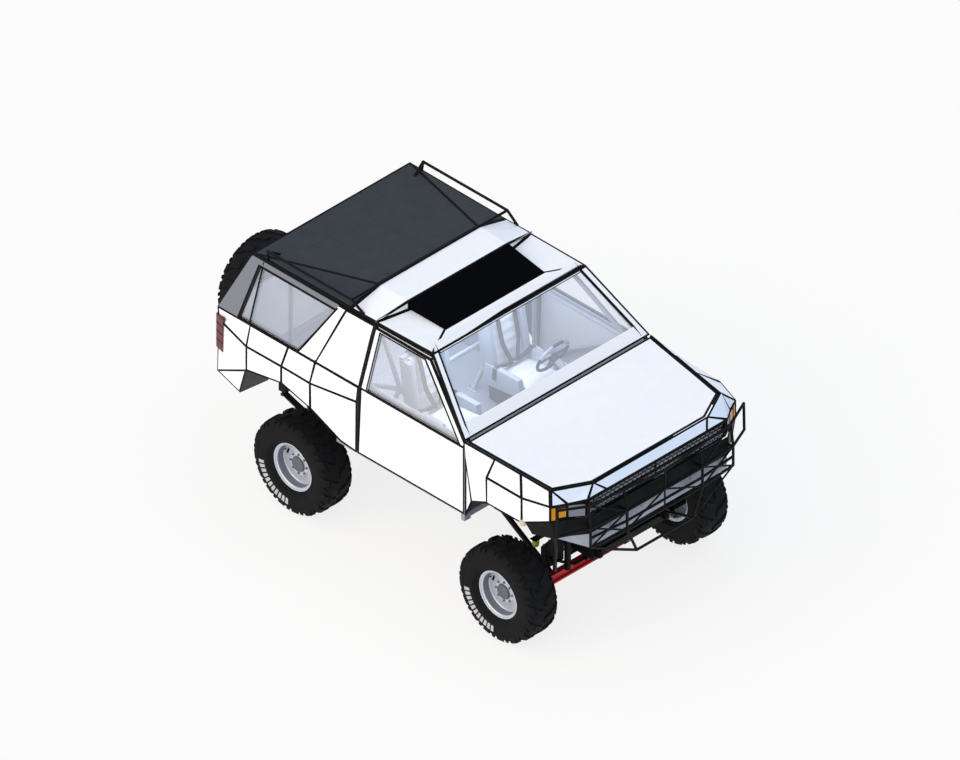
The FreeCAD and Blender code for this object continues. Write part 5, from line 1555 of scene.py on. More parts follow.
@dataclass
class Controls:
    """Dials, vents and switches on the dash, and a stitched grip on the steering wheel.

    Attributes:
        trees: The geometry trees.
        vents: Slats in each air vent.
        switches: Switches in the middle row.
    """

    trees: Trees
    vents: int = 6
    switches: int = 7
    # Two points on the face of the dash that looks back into the cab: X and Z.
    face: tuple[tuple[float, float], ...] = ((0.762, 1.652), (0.772, 1.772))

    def face_place(self, across: float, share: float) -> Matrix:
        """Give the matrix that stands a part on the dash's face, with its Z axis into the cab."""
        (low_x, low_z), (high_x, high_z) = self.face
        up = Vector((high_x - low_x, 0, high_z - low_z)).normalized()
        out = Vector((0, -1, 0)).cross(up).normalized()
        if out.x > 0:
            out.negate()
        side = up.cross(out)
        spot = Vector((low_x + (high_x - low_x) * share, across, low_z + (high_z - low_z) * share))
        return Matrix.Translation(spot) @ Matrix((side, up, out)).transposed().to_4x4()

    def dial(self, bm: BMesh, across: float, radius: float) -> None:
        """Set one dial on the face: bezel, plate, ticks and needle."""
        part = bmesh.new()
        add_turned(part,
                   ((0.0, -0.004), (radius, -0.004), (radius, 0.01), (radius * 0.94, 0.014),
                    (radius * 0.88, 0.01), (radius * 0.86, 0.003), (0.0, 0.003)), ORIGIN, UP, 36)
        tick = bmesh.new()
        size = radius * 0.05
        add_block(tick,
                  ((-2 * size, -size / 2, 0.0), (2 * size, -size / 2, 0.0), (2 * size, size / 2, 0.0),
                   (-2 * size, size / 2, 0.0)), (0, 0, 0.0042), 0)
        join_into(part, self.trees.grow(self.trees.arc, tick, {
            "Copies": 11, "Radius": radius * 0.68, "Start": radians(-40),
            "Sweep": radians(286), "Finish": PALE_TICK_AND_GLINT}, 1))
        add_block(part,
                  ((-size, -size, 0.003), (size, -size, 0.003), (size * 0.3, radius * 0.7, 0.003),
                   (-size * 0.3, radius * 0.7, 0.003)), (0, 0, 0.003), 2)
        join_into(bm, part, self.face_place(across, 0.5))

    def vent(self, bm: BMesh, across: float) -> None:
        """Set one air vent with its slats on the face."""
        part = bmesh.new()
        for y in (-0.036, 0.03):
            add_box(part, (-0.075, 0.075), (y, y + 0.006), (-0.004, 0.012), 0, 0.001)
        slat = bmesh.new()
        add_block(slat,
                  ((-0.072, -0.0265, -0.002), (0.072, -0.0265, -0.002), (0.072, -0.0245, 0.006),
                   (-0.072, -0.0245, 0.006)), (0, 0.002, 0), 0)
        join_into(part, self.trees.grow(self.trees.row, slat, {
            "Copies": self.vents, "Step": (0.0, 0.0095, 0.0), "Finish": POWDER}))
        join_into(bm, part, self.face_place(across, 0.55))

    def grip(self, shop: Workshop) -> None:
        """Wrap the steering wheel's lower half in a stitched grip."""
        low, high = shop.box("steering_wheel")
        middle = (low + high) / 2
        bm = bmesh.new()
        slope = Vector((-0.9231, 0, 0.3846)).normalized()
        side, up = Vector((0, 1, 0)), slope.cross(Vector((0, 1, 0))).normalized()
        centre = Vector((0.5321, 0.48, 1.7274)) + Vector((0, middle.y - 0.48, 0))
        for start in (200, 290):
            path = [centre + (side * cos(a) + up * sin(a)) * 0.178
                    for a in (radians(start + step * 5) for step in range(11))]
            add_tube(bm, path, 0.0172, 12)
        shop.fit("steering_grips", bm, (BOLSTER,), "steering_wheel", 40.0)

    def build(self, shop: Workshop) -> None:
        """Fit the dash and the steering wheel."""
        bm = bmesh.new()
        for across, radius in ((0.4, 0.044), (0.56, 0.044), (0.3, 0.026), (0.66, 0.026)):
            self.dial(bm, across, radius)
        for across in (-0.85, -0.08, 0.85):
            self.vent(bm, across)
        seed = bmesh.new()
        place = self.face_place(0.0, 0.2)
        add_block(seed,
                  [place @ Vector(c)
                   for c in ((-0.009, -0.014, -0.003), (0.009, -0.014, -0.003), (0.009, 0.014, -0.003),
                             (-0.009, 0.014, -0.003))], place.to_3x3() @ Vector((0, 0, 0.011)), 0, 0.0015)
        bmesh.ops.translate(seed, vec=(0, -0.42, 0), verts=seed.verts)
        join_into(bm, self.trees.grow(self.trees.row, seed, {
            "Copies": self.switches, "Step": (0.0, 0.034, 0.0), "Finish": POWDER}))
        shop.fit("dash_instruments", bm, (POWDER, PALE_TICK_AND_GLINT, BEAM), "dashboard", 35.0)
        shop.dress_node("dashboard", DASH)
        shop.dress_node("steering_wheel", POWDER)
        self.grip(shop)


# ---------------------------------------------------------------- running gear

def along_axis(start: Vector, end: Vector) -> Matrix:
    """Give the matrix that lays the Z axis from one point towards another."""
    way = (end - start).normalized()
    return Matrix.Translation(start) @ way.to_track_quat("Z", "Y").to_matrix().to_4x4()


def crosswise(point: tuple[float, float, float], side: int) -> Vector:
    """Give a left point of the front suspension, or its place half a turn round for the right.

    Args:
        point: The left point, measured from the front axle.
        side: 1 for the left side, -1 for the right side.
    """
    x, y, z = point
    return Vector((FRONT_AXLE_X + side * x, side * y, z))


FRONT_AXLE_X, REAR_AXLE_X, AXLE_HEIGHT = 1.523, -1.137, 0.4765


@dataclass
class FrontGear:
    """Coils, bypass dampers, bump stops, pivot bolts, beam guards and bumper stays at the front.

    Attributes:
        trees: The geometry trees.
        foot: Lower end of the left spring, from the front axle.
        top: Its upper end.
        turns: Turns of each coil.
    """

    trees: Trees
    foot: tuple[float, float, float] = (-0.156, 0.64, 0.5205)
    top: tuple[float, float, float] = (-0.09, 0.56, 1.47)
    turns: float = 10.0

    def spring(self, shop: Workshop, word: str, side: int) -> None:
        """Wind one coil round its damper and seat it between two rings."""
        place = along_axis(crosswise(self.foot, side), crosswise(self.top, side))
        bm = self.trees.grow(
            self.trees.coil, None,
            {"Turns": self.turns, "Radius": 0.0585, "Height": 0.47, "Wire": 0.0075, "Finish": COIL})
        bmesh.ops.translate(bm, vec=(0, 0, 0.4), verts=bm.verts)
        for level, ring in ((0.392, 0.07), (0.87, 0.07), (0.625, 0.05)):
            add_turned(bm,
                       ((0.0425, level - 0.008), (ring, level - 0.008), (ring, level + 0.006),
                        (0.0425, level + 0.01)), ORIGIN, UP, 32, 1)
        bmesh.ops.transform(bm, matrix=place, verts=bm.verts)
        shop.fit(f"coil_spring_{word}", bm, (COIL, SHOCK), "front_shocks", 40.0)

    def bump_stop(self, shop: Workshop, word: str, side: int) -> None:
        """Hang one urethane stop on a bracket outside the frame rail."""
        x = FRONT_AXLE_X - 0.05
        bm = bmesh.new()
        inner, outer = side * 0.449, side * 0.712
        low, high = sorted((inner, outer))
        add_box(bm, (x - 0.034, x + 0.034), (low, high), (0.797, 0.008), 1, 0.002)
        add_block(bm, ((x - 0.004, inner, 0.797), (x - 0.004, inner, 0.712), (x - 0.004, side * 0.64, 0.797)),
                  (0.008, 0, 0), 1, 0.001)
        add_turned(bm,
                   ((0.0, 0.798), (0.03, 0.798), (0.034, 0.78), (0.026, 0.77), (0.034, 0.758), (0.026, 0.746),
                    (0.03, 0.732), (0.02, 0.718), (0.0, 0.714)), (x, side * 0.672, 0), (0, 0, 1), 28, 0)
        shop.fit(f"bump_stop_{word}", bm, (BUMP_STOP, POWDER), "frame_rails", 40.0)

    def bypass(self, shop: Workshop, word: str, side: int) -> None:
        """Stand a second damper ahead of the coil and clamp its two gas bottles to the frame."""
        bm = bmesh.new()
        foot, top = (crosswise(p, side) for p in ((-0.275, 0.6, 0.6), (-0.225, 0.545, 1.33)))
        way, length = (top - foot).normalized(), (top - foot).length
        add_turned(bm,
                   ((0.0, 0.0), (0.031, 0.0), (0.031, length / 2), (0.037, length / 2 + 0.01),
                    (0.037, length), (0.0, length)), foot, way, 28)
        for turn in range(4):
            beside = way.orthogonal() * 0.044
            beside.rotate(Matrix.Rotation(radians(90 * turn + 30), 3, way))
            add_tube(bm, [foot.lerp(top, 0.55) + beside, foot.lerp(top, 0.93) + beside], 0.009, 10)
        for bottle in (-0.15, -0.235):
            low = crosswise((bottle, 0.502, 1.0), side)
            add_turned(bm,
                       ((0.0, 0.0), (0.03, 0.0), (0.034, 0.006), (0.034, 0.25), (0.028, 0.262), (0.0, 0.262)),
                       low, (0, 0, 1), 28)
            add_tube(bm, [low + Vector((0, 0, 0.255)), low + Vector((0, side * 0.02, 0.31)), top], 0.007, 8)
        shop.fit(f"bypass_damper_{word}", bm, (POWDER,), "front_shocks", 40.0)

    def guard(self, shop: Workshop, word: str, side: int) -> None:
        """Stand ribbed black guard plates over the beams, each side of the frame rail."""
        bm = bmesh.new()
        for near, far, low, high in ((0.46, 0.74, 0.54, 0.86), (0.12, 0.385, 0.54, 0.69)):
            corners = [crosswise(p, side)
                       for p in ((-0.08, near, low), (-0.08, far, low), (-0.08, far, high - 0.05),
                                 (-0.08, near, high))]
            add_block(bm, corners, (0.006, 0, 0), 0)
            for share in (0.12, 0.37, 0.62, 0.87):
                foot, top = (a.lerp(b, share)
                             for a, b in ((corners[0], corners[1]), (corners[3], corners[2])))
                add_tube(bm, [foot, top], 0.009, 8)
        shop.fit(f"beam_guard_{word}", bm, (POWDER,), "front_axle_beams", 40.0)

    def braces(self, shop: Workshop) -> None:
        """Tie the bumper's level bars together with slim stays."""
        bm = bmesh.new()
        face, end = 2.412, 2.376
        for side in SIDES.values():
            for one, two in (
                    ((2.377, 0.47, 1.68), (face, 0.47, 1.469)), ((2.347, 0.885, 1.69), (face, 0.47, 1.469)),
                    ((face, 0.47, 1.469), (end, 0.89, 1.263)), ((end, 0.89, 1.469), (face, 0.47, 1.263)),
                    ((face, 0.47, 1.263), (face, 0.0, 1.469)), ((face, 0.0, 1.67), (face, 0.0, 1.263)),
                    ((end, 0.89, 1.263), (face, 0.351, 0.987))):
                add_tube(bm, [Vector((x, side * y, z)) for x, y, z in (one, two)], 0.0085, 10)
        shop.fit("bumper_stays", bm, (POWDER,), "front_bumper", 40.0)

    def pivots(self, shop: Workshop) -> None:
        """Put a bolt head and a nut on each beam pivot."""
        bm = bmesh.new()
        for side in SIDES.values():
            for way in SIDES.values():
                spot = crosswise((-0.156 + way * 0.045, -0.235, AXLE_HEIGHT), side)
                outward = Vector((side * way, 0, 0))
                add_turned(bm, ((0.0, -0.002), (0.03, -0.002), (0.03, 0.004), (0.0, 0.004)), spot, outward,
                           28)
                add_turned(bm, ((0.0, 0.0), (0.019, 0.0), (0.019, 0.016), (0.015, 0.019), (0.0, 0.019)), spot,
                           outward, 6)
        shop.fit("beam_pivot_bolts", bm, (ZINC,), "frame_rails")

    def build(self, shop: Workshop) -> None:
        """Fit the front suspension."""
        for word, side in SIDES.items():
            self.spring(shop, word, side)
            self.bump_stop(shop, word, side)
            self.bypass(shop, word, side)
            self.guard(shop, word, side)
        self.pivots(shop)
        self.braces(shop)
        shop.dress_node("front_axle_beams", BEAM)
        shop.dress_node("front_shocks", SHOCK)


@dataclass
class RearGear:
    """U-bolts, leaf clips and the ring of cover bolts of the rear axle.

    Attributes:
        trees: The geometry trees.
        spring_out: Distance of a leaf spring from the middle plane.
        cover_bolts: Bolts round the differential's cover.
    """

    trees: Trees
    spring_out: float = 0.56
    cover_bolts: int = 12

    def clamps(self, bm: BMesh, side: int) -> None:
        """Bend two U-bolts round the axle and two clips round the leaves."""
        for way in (-0.058, 0.058):
            for edge in (-0.037, 0.037):
                y = side * self.spring_out + edge
                add_tube(bm, ((REAR_AXLE_X + way, y, 0.425), (REAR_AXLE_X + way, y, 0.598)), 0.0065, 10)
            low, high = side * self.spring_out - 0.044, side * self.spring_out + 0.044
            add_box(bm, (REAR_AXLE_X + way - 0.012, REAR_AXLE_X + way + 0.012), (low, high), (0.581, 0.01), 0,
                    0.002)
        add_box(bm, (REAR_AXLE_X - 0.08, REAR_AXLE_X + 0.08),
                (side * self.spring_out - 0.05, side * self.spring_out + 0.05), (0.42, 0.012), 0, 0.002)

    def build(self, shop: Workshop) -> None:
        """Fit the rear axle."""
        bm = bmesh.new()
        for side in SIDES.values():
            self.clamps(bm, side)
        bolt = bmesh.new()
        add_turned(bolt, ((0.0, -0.172), (0.0085, -0.172), (0.0085, -0.181), (0.0, -0.183)), ORIGIN, UP, 6)
        ring = self.trees.grow(self.trees.arc, bolt,
                               {"Copies": self.cover_bolts, "Radius": 0.072, "Finish": ZINC})
        turn = Matrix.Rotation(radians(90), 4, "Y")
        join_into(bm, ring, Matrix.Translation((REAR_AXLE_X, 0, AXLE_HEIGHT)) @ turn)
        shop.fit("axle_clamps", bm, (ZINC,), "rear_axle", 35.0)


@dataclass
class EngineTop:
    """Covers, air cleaner, fan and radiator that show when the hood is open.

    Attributes:
        trees: The geometry trees.
        blades: Blades of the fan.
        fins: Fins of the radiator.
    """

    trees: Trees
    blades: int = 7
    fins: int = 40

    def build(self, shop: Workshop) -> None:
        """Dress the plain engine block."""
        low, high = shop.box("engine_block")
        middle = (low + high) / 2
        bm = bmesh.new()
        for side in SIDES.values():
            y = side * 0.17
            add_box(bm, (low.x + 0.06, high.x - 0.06), (y - 0.065, y + 0.065), (high.z - 0.002, 0.07), 1,
                    0.018)
            rib = bmesh.new()
            add_box(rib, (low.x + 0.11, low.x + 0.122), (y - 0.05, y + 0.05), (high.z + 0.066, 0.008), 0,
                    0.001)
            join_into(bm, self.trees.grow(self.trees.row, rib, {
                "Copies": 14, "Step": (0.037, 0.0, 0.0), "Finish": SHOCK}, 1))
        add_turned(bm,
                   ((0.0, 0.0), (0.1, 0.0), (0.16, 0.02), (0.175, 0.03), (0.175, 0.085), (0.16, 0.1),
                    (0.05, 0.105), (0.03, 0.118), (0.0, 0.118)), (middle.x + 0.04, 0, high.z + 0.01),
                   (0, 0, 1), 48, 2)
        hub = Vector((high.x + 0.03, 0, 1.18))
        add_turned(bm, ((0.0, -0.034), (0.045, -0.034), (0.045, 0.016), (0.0, 0.016)), hub, (1, 0, 0), 28, 1)
        blade = bmesh.new()
        add_block(blade,
                  ((0.03, -0.028, -0.012), (0.19, -0.04, -0.016), (0.19, 0.036, 0.014), (0.03, 0.024, 0.01)),
                  (0, 0, 0.004), 0, 0.001)
        ring = self.trees.grow(self.trees.arc, blade,
                               {"Copies": self.blades, "Radius": 0.0, "Finish": POWDER}, 3)
        join_into(bm, ring, Matrix.Translation(hub) @ Matrix.Rotation(radians(90), 4, "Y"))
        shop.fit("engine_dress", bm, (IRON, SHOCK, POWDER, POWDER), "engine_block", 35.0)
        self.radiator(shop, high.x + 0.07)
        shop.dress_node("engine_block", IRON)

    def radiator(self, shop: Workshop, x: float) -> None:
        """Stand the radiator on the frame's front cross member, ahead of the fan."""
        bm = bmesh.new()
        for low, high in ((0.771, 0.85), (1.44, 1.51)):
            add_box(bm, (x, x + 0.06), (-0.36, 0.36), (low, high - low), 0, 0.012)
        add_box(bm, (x + 0.014, x + 0.046), (-0.345, 0.345), (0.84, 0.61), 0)
        fin = bmesh.new()
        add_box(fin, (x + 0.01, x + 0.05), (-0.34, 0.34), (0.852, 0.004), 0)
        join_into(bm, self.trees.grow(self.trees.row, fin, {
            "Copies": self.fins, "Step": (0.0, 0.0, 0.0148), "Finish": SHOCK}, 1))
        shop.fit("radiator", bm, (POWDER, SHOCK), "frame_rails")


# ---------------------------------------------------------------- body details

@dataclass
class Fixings:
    """Bolts, foot plates and knuckle balls that hold the bolted-on pieces.

    Attributes:
        trees: The geometry trees.
        feet: Middle of each cage foot on the left, at the height of the floor that it stands on.
        ball: Middle of the left knuckle ball of the bumper.
    """

    trees: Trees
    feet: tuple[tuple[float, float, float], ...] = (
        (0.953, 1.056, 1.05), (-0.278, 1.056, 1.05), (-1.377, 0.878, 1.482), (-1.657, 0.64, 1.05),
        (-0.278, 0.3, 1.05))
    ball: tuple[float, float, float] = (1.871, 1.224, 1.456)

    def cage_feet(self, shop: Workshop) -> None:
        """Bolt a plate under every leg of the roll cage."""
        bm = bmesh.new()
        for x, y, z in self.feet:
            for side in SIDES.values():
                low, high = sorted((side * (y - 0.034), side * (y + 0.034)))
                add_box(bm, (x - 0.055, x + 0.055), (low, high), (z, 0.007), 0, 0.0015)
                seed = bmesh.new()
                add_turned(seed, ((0.0, 0.0), (0.0085, 0.0), (0.0085, 0.008), (0.0, 0.0095)),
                           (x - 0.04, side * y, z + 0.006), (0, 0, 1), 6)
                join_into(bm, self.trees.grow(self.trees.row, seed, {
                    "Copies": 2, "Step": (0.08, 0.0, 0.0), "Finish": ZINC}, 1))
        shop.fit("cage_foot_plates", bm, (CAGE, ZINC), "roll_cage")

    def skid_bolts(self, shop: Workshop) -> None:
        """Set rows of countersunk bolts in the skid plate's face."""
        bm = bmesh.new()
        for level in (1.06, 1.34):
            for place in range(9):
                y = -0.8 + 0.2 * place
                hit = shop.surface("skid_plate", Vector((3.0, y, level)), Vector((-1, 0, 0)))
                if hit is None:
                    continue
                spot, normal = hit
                add_turned(bm, ((0.0, -0.002), (0.011, -0.002), (0.011, 0.002), (0.008, 0.0035),
                                (0.004, 0.0015), (0.0, 0.0015)), spot, normal, 20)
        if bm.verts:
            shop.fit("skid_plate_bolts", bm, (ZINC,), "skid_plate", 35.0)
        shop.dress_node("skid_plate", SKID)

    def balls(self, shop: Workshop) -> None:
        """Put a nylon ball at the bend of each bumper wing."""
        for word, side in SIDES.items():
            bm = bmesh.new()
            x, y, z = self.ball
            bmesh.ops.create_uvsphere(bm, u_segments=28, v_segments=18, radius=0.04,
                                      matrix=Matrix.Translation((x, side * y, z)))
            shop.fit(f"knuckle_ball_{word}", bm, (NYLON,), "front_bumper", 60.0)

    def build(self, shop: Workshop) -> None:
        """Fit every fixing."""
        self.cage_feet(shop)
        self.skid_bolts(shop)
        self.balls(shop)


@dataclass
class BodyTrim:
    """Smoked rails and posts of the rear canopy, charcoal plates of painted shade at the arches, and the
    finishes of the tub and of the scoop, whose black is partly painted shade.

    Attributes:
        belt: Height of the belt line.
        belt_half: Half width of the body there.
        lean: How far the side leans in for each metre of height.
        shade_plate_reach: How far the rear arch's plate of painted shade reaches in from the panel's edge.
    """

    belt: float = 1.812
    belt_half: float = 1.156
    lean: float = 0.3005
    shade_plate_reach: float = 0.304
    # X and height of the corners of each strip on the side, and its finish.
    strips: tuple[tuple[tuple[tuple[float, float], ...], str], ...] = (
        (((-1.748, 2.357), (-0.702, 2.357), (-0.672, 2.402), (-1.752, 2.402)), "smoked"),
        (((-1.64, 2.336), (-0.715, 2.336), (-0.702, 2.36), (-1.642, 2.36)), "black"),
        (((-1.628, 1.815), (-1.612, 1.815), (-1.604, 2.4), (-1.62, 2.4)), "black"))

    def side_point(self, x: float, z: float, side: int, proud: float) -> Vector:
        """Give a point over the leaning side of the body."""
        return Vector((x, side * (self.belt_half - (z - self.belt) * self.lean + proud), z))

    def canopy(self, shop: Workshop, word: str, side: int) -> None:
        """Lay the smoked rail over the window and the black post across it."""
        bm = bmesh.new()
        for corners, finish in self.strips:
            add_block(bm, [self.side_point(x, z, side, -0.004) for x, z in corners], (0, side * 0.0065, 0),
                      0 if finish == "smoked" else 1, 0.001)
        shop.fit(f"canopy_strips_{word}", bm, (SMOKED_RAIL, SEAL), "quarter_windows")

    def arch_shade_plates(self, shop: Workshop, word: str, side: int) -> None:
        """Set charcoal plates as painted shade: one in under the rear arch and one on the tub's front wall,
        behind the front wheel.
        """
        bm = bmesh.new()
        edge = [Vector((x, side * y, z)) for x, y, z in ((-1.546, 1.262, 1.398), (-1.749, 1.134, 0.999))]
        inward = [p + Vector((0.04, -side * self.shade_plate_reach, 0)) for p in reversed(edge)]
        add_block(bm, [*edge, *inward], (-0.005, 0, 0.003), 0)
        wall, _ = shop.surface("floor_tub", Vector((1.3, side * 1.014, 1.118)), Vector((-1, 0, 0)))
        add_block(bm, [Vector((wall.x - 0.0005, side * y, z)) for y, z in (
            (0.7, 1.08), (1.088, 1.08), (1.088, 1.3), (0.7, 1.3))], (0.002, 0, 0), 0)
        shop.fit(f"arch_painted_shade_{word}", bm, (CHASSIS_PAINT_AND_ARCH_SHADE,), "floor_tub")

    def build(self, shop: Workshop) -> None:
        """Fit the trim on both sides and dress what keeps its shape."""
        for word, side in SIDES.items():
            self.canopy(shop, word, side)
            self.arch_shade_plates(shop, word, side)
        # The roof scoop's near-black is partly painted shade of the intake's mouth.
        for node, finish in (("roof_scoop", SCOOP_BLACK_AND_SHADE), ("floor_tub", TUB)):
            shop.dress_node(node, finish)


@dataclass
class Linkage:
    """Anti-roll bar, centre link and cooler lines under the front of the frame.

    Attributes:
        bar_radius: Radius of the anti-roll bar.
    """

    bar_radius: float = 0.014

    def build(self, shop: Workshop) -> None:
        """Hang the bars below the rails, clear of the beams and the knuckles."""
        bm = bmesh.new()
        x = FRONT_AXLE_X
        roll = [(-0.01, 0.6, 0.59), (0.2, 0.6, 0.64), (0.33, 0.56, 0.66)]
        path = [Vector((x + px, y, z)) for px, y, z in roll]
        path += [Vector((p.x, -p.y, p.z)) for p in reversed(path)]
        add_tube(bm, path, self.bar_radius, 12)
        for side in SIDES.values():
            add_turned(bm, ((0.0, -0.022), (0.026, -0.022), (0.026, 0.022), (0.0, 0.022)),
                       (x + 0.33, side * 0.415, 0.662), (0, 1, 0), 18)
            add_box(bm, (x + 0.3, x + 0.36), (side * 0.415 - 0.02, side * 0.415 + 0.02), (0.662, 0.045), 0,
                    0.003)
            add_turned(bm, ((0.0, 0.0), (0.022, 0.0), (0.018, 0.11), (0.0, 0.11)),
                       (x + 0.235, side * 0.3, 0.592), (0, 0, 1), 16)
        add_tube(bm, ((x + 0.235, -0.33, 0.59), (x + 0.235, 0.33, 0.59)), 0.016, 12)
        for y, z in ((0.06, 0.655), (0.11, 0.64)):
            add_tube(bm,
                     ((x + 0.02, y, z + 0.05), (x + 0.1, y, z), (x + 0.36, y + 0.02, z),
                      (x + 0.41, y + 0.02, z + 0.05)), 0.009, 8)
        shop.fit("front_linkage", bm, (POWDER,), "frame_rails", 40.0)


# ---------------------------------------------------------------- studio

@dataclass
class Studio:
    """Pale floor, soft light and the camera."""

    aim: Vector = field(default_factory=lambda: Vector((0.105, 0.0, 1.493)))
    back: Vector = field(default_factory=lambda: Vector((1, -1, 1)).normalized())
    view_width: float = 8.472
    floor_half: float = 60.0

    def camera(self) -> None:
        """Set an isometric camera at the vehicle's right front."""
        data = bpy.data.cameras.new("camera")
        data.type = "ORTHO"
        data.ortho_scale = self.view_width
        data.clip_end = 200.0
        item = bpy.data.objects.new("camera", data)
        bpy.context.scene.collection.objects.link(item)
        item.location = self.aim + self.back * 20.0
        item.rotation_euler = (-self.back).to_track_quat("-Z", "Y").to_euler()
        bpy.context.scene.camera = item

    def floor(self) -> None:
        """Lay a plain pale floor, lit softly from within so that shadows stay faint."""
        bm = bmesh.new()
        half = self.floor_half
        bm.faces.new([bm.verts.new(c)
                      for c in ((-half, -half, 0), (half, -half, 0), (half, half, 0), (-half, half, 0))])
        mesh = bpy.data.meshes.new("floor")
        bm.to_mesh(mesh)
        bm.free()
        item = bpy.data.objects.new("floor", mesh)
        bpy.context.scene.collection.objects.link(item)
        made = bpy.data.materials.new("pale_floor")
        made.use_nodes = True
        tree = made.node_tree
        tree.nodes.clear()
        shader = add_node(
            tree, "ShaderNodeBsdfPrincipled", None,
            {"Base Color": (0.17, 0.165, 0.155, 1.0), "Roughness": 1.0, "Specular IOR Level": 0.0,
             "Emission Color": (1.0, 1.0, 1.0, 1.0), "Emission Strength": 0.81})
        add_node(tree, "ShaderNodeOutputMaterial", None, {0: shader})
        mesh.materials.append(made)

    def light(self) -> None:
        """Light the set with an even cool sky and one broad warm key from the right."""
        world = bpy.data.worlds.new("studio_sky")
        world.use_nodes = True
        tree = world.node_tree
        back = tree.nodes["Background"]
        # Cool sky above the horizon, and below it the floor's own white.
        way = add_node(tree, "ShaderNodeTexCoord").outputs["Generated"]
        height = add_node(tree, "ShaderNodeSeparateXYZ", None, {0: way}).outputs[2]
        above = add_node(tree, "ShaderNodeMath", {"operation": "GREATER_THAN"}, {0: height, 1: 0.0})
        sky = add_node(tree, "ShaderNodeMix", {"data_type": "RGBA"},
                       {0: above, 6: (1.12, 1.12, 1.12, 1.0), 7: (0.7, 0.82, 1.0, 1.0)})
        tree.links.new(sky.outputs[2], back.inputs["Color"])
        back.inputs["Strength"].default_value = 0.86
        bpy.context.scene.world = world
        sun = bpy.data.lights.new("key", "SUN")
        sun.color = (1.0, 0.8, 0.56)
        sun.energy = 2.0
        sun.angle = radians(70)
        item = bpy.data.objects.new("key", sun)
        bpy.context.scene.collection.objects.link(item)
        item.rotation_euler = Vector((0.06, 0.8, -0.54)).to_track_quat("-Z", "Y").to_euler()
        fill = bpy.data.lights.new("cab_fill", "AREA")
        fill.shape = "RECTANGLE"
        fill.size, fill.size_y = 2.0, 1.1
        fill.energy = 45.0
        fill.color = (0.86, 0.92, 1.0)
        lamp = bpy.data.objects.new("cab_fill", fill)
        bpy.context.scene.collection.objects.link(lamp)
        lamp.location = (-0.55, 0.0, 2.37)
        lamp.visible_camera = False
        bpy.context.scene.view_settings.view_transform = "Standard"

    def build(self) -> None:
        """Set up the whole studio."""
        self.camera()
        self.floor()
        self.light()
        log.info("studio ready")


# ---------------------------------------------------------------- everything together

# Folds of the side panels, in metres from the middle of the vehicle.
FENDER_PLAIN = (Line((1.073, 1.156, 1.89), (1.44, 1.256, 1.73)),
                Line((1.417, 1.121, 1.858), (1.871, 1.249, 1.721)),
                Line((2.043, 1.057, 1.8), (1.871, 1.249, 1.721)))
FENDER_SEALED = (Line((1.709, 1.091, 1.831), (1.871, 1.249, 1.721)),)
QUARTER_PLAIN = (Line((-0.248, 1.156, 1.812), (-0.754, 1.266, 1.659)),
                 Line((-1.61, 1.156, 1.812), (-2.025, 1.138, 1.659)))
QUARTER_SEALED = (Line((-1.133, 1.156, 1.812), (-1.116, 1.262, 1.659)),
                  Line((-0.798, 1.156, 1.812), (-0.754, 1.266, 1.659)),
                  Line((-1.116, 1.262, 1.659), (-1.116, 1.262, 1.476)))
NOSE_SEALED = (Line((2.043, 1.057, 1.8), (2.218, 1.015, 1.712)),
               Line((2.226, 0.71, 1.803), (2.317, 0.621, 1.731)))
NOSE_PLAIN = (Line((2.043, 1.057, 1.8), (2.326, 0.874, 1.743)),
              Line((2.218, 1.015, 1.712), (2.226, 0.71, 1.803)))
HOOD_FOLD = Line((2.037, 0.0, 1.8), (2.037, 1.036, 1.8))
ROOF_PLAIN = (Line((-0.533, 0.622, 2.524), (-0.224, 0.97, 2.437)),
              Line((-0.533, 0.622, 2.524), (-0.16, 0.622, 2.524)))
QUARTER_SCORED = (Line((-0.798, 1.156, 1.812), (-0.579, 0.978, 2.403)),)
SURROUND_PLAIN = (
    Line((0.488, 0.0, 2.421), (0.488, 0.882, 2.421)), Line((1.051, 0.0, 1.909), (1.051, 1.072, 1.909)),
    Line((1.061, 0.0, 1.878), (1.061, 1.085, 1.878)), Line((1.071, 0.0, 1.878), (1.071, 1.085, 1.878)))
SCOOP_CREASES = (Line((0.285, 0.622, 2.437), (0.467, 0.958, 2.44)),
                 Line((0.285, 0.0, 2.437), (0.285, 0.622, 2.437)))

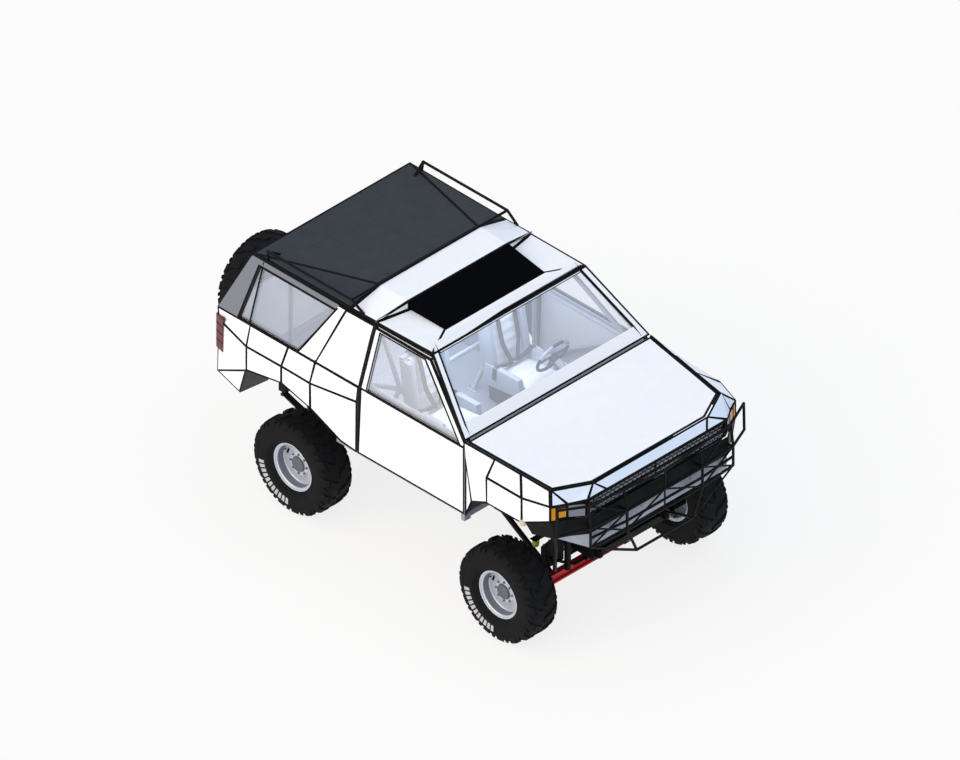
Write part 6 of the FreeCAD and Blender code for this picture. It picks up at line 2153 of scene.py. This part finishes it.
PANELS = (
    *(PaintedPanel(f"door_{side}", f"door_skin_{side}") for side in SIDES),
    # The quarter panels' and fenders' inward faces take charcoal as painted shade of the wheel arches.
    *(PaintedPanel(f"quarter_panel_{side}", f"quarter_skin_{side}", QUARTER_SEALED, QUARTER_PLAIN,
                   QUARTER_SCORED, inner=CHASSIS_PAINT_AND_ARCH_SHADE) for side in SIDES),
    *(PaintedPanel(f"front_fender_{side}", f"fender_skin_{side}", FENDER_SEALED, FENDER_PLAIN, inner=CHASSIS_PAINT_AND_ARCH_SHADE)
      for side in SIDES), PaintedPanel("hood", "hood_skin", plain=(HOOD_FOLD,)),
    # The nose's outward faces take the darker white as painted shade.
    PaintedPanel("nose_panel", "nose_skin", NOSE_SEALED, NOSE_PLAIN, outer=NOSE_PAINTED_SHADE),
    PaintedPanel("windscreen_frame", "screen_surround", plain=SURROUND_PLAIN),
    PaintedPanel("front_roof", "front_roof_skin", plain=ROOF_PLAIN, scored=SCOOP_CREASES, turned_in=-0.35),
    PaintedPanel("tail_door", "tail_door_skin"),
    PaintedPanel("rear_roof", "rear_roof_skin", outer=VINYL, inner=DASH, seal_width=0.016),
    # The panes' pale veils over the cab are painted reflection.
    *(PaintedPanel(node, f"{node}_pane", outer=finish, inner=finish, slim=0.02, rim_extra=0.0,
                   seal_width=0.006, groove=0.0)
      for node, finish in (("corner_windows", SMOKED_RAIL), ("quarter_windows", SMOKED_TINT_AND_REFLECTION),
                           ("tail_glass", SMOKED_TINT_AND_REFLECTION), ("windscreen_glass", GLASS_REFLECTION_VEIL), ("door_glass_right", GLASS_REFLECTION_VEIL),
                           ("door_glass_left", GLASS_REFLECTION_VEIL))),)


def setup_log() -> None:
    """Send the report of each piece to the console."""
    logging.basicConfig(level=logging.INFO, format="%(message)s")


def main() -> None:
    """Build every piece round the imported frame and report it."""
    setup_log()
    shop = Workshop(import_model())
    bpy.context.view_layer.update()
    Studio().build()
    for panel in PANELS:
        panel.build(shop)
    trees = Trees()
    for group in (Wheels(trees), Rims(trees), FrontLamps(), Grille(trees), TailLamps(trees), Seats(),
                  Controls(trees), FrontGear(trees), RearGear(trees), EngineTop(trees), Fixings(trees),
                  BodyTrim(), Linkage()):
        group.build(shop)
    slots = {f.slot: f
             for f in (PAINT, POWDER, CHASSIS_PAINT_AND_ARCH_SHADE, BEAM, CAGE, TYRE, RIM, GLASS_REFLECTION_VEIL, SMOKED_TINT_AND_REFLECTION, VINYL, LENS_CLEAR,
                       LENS_AMBER, LENS_RED, SKID, IRON, FABRIC, DASH, LEAF, SHOCK)}
    for row in shop.frame["record"]["subparts"]:
        name = row["node"]
        if not shop.node(name).hide_render and name not in shop.dressed:
            dress(shop.node(name), slots[row["material_slot"]])
    log.info("%d new pieces", shop.made)


if __name__ == "__main__":
    main()
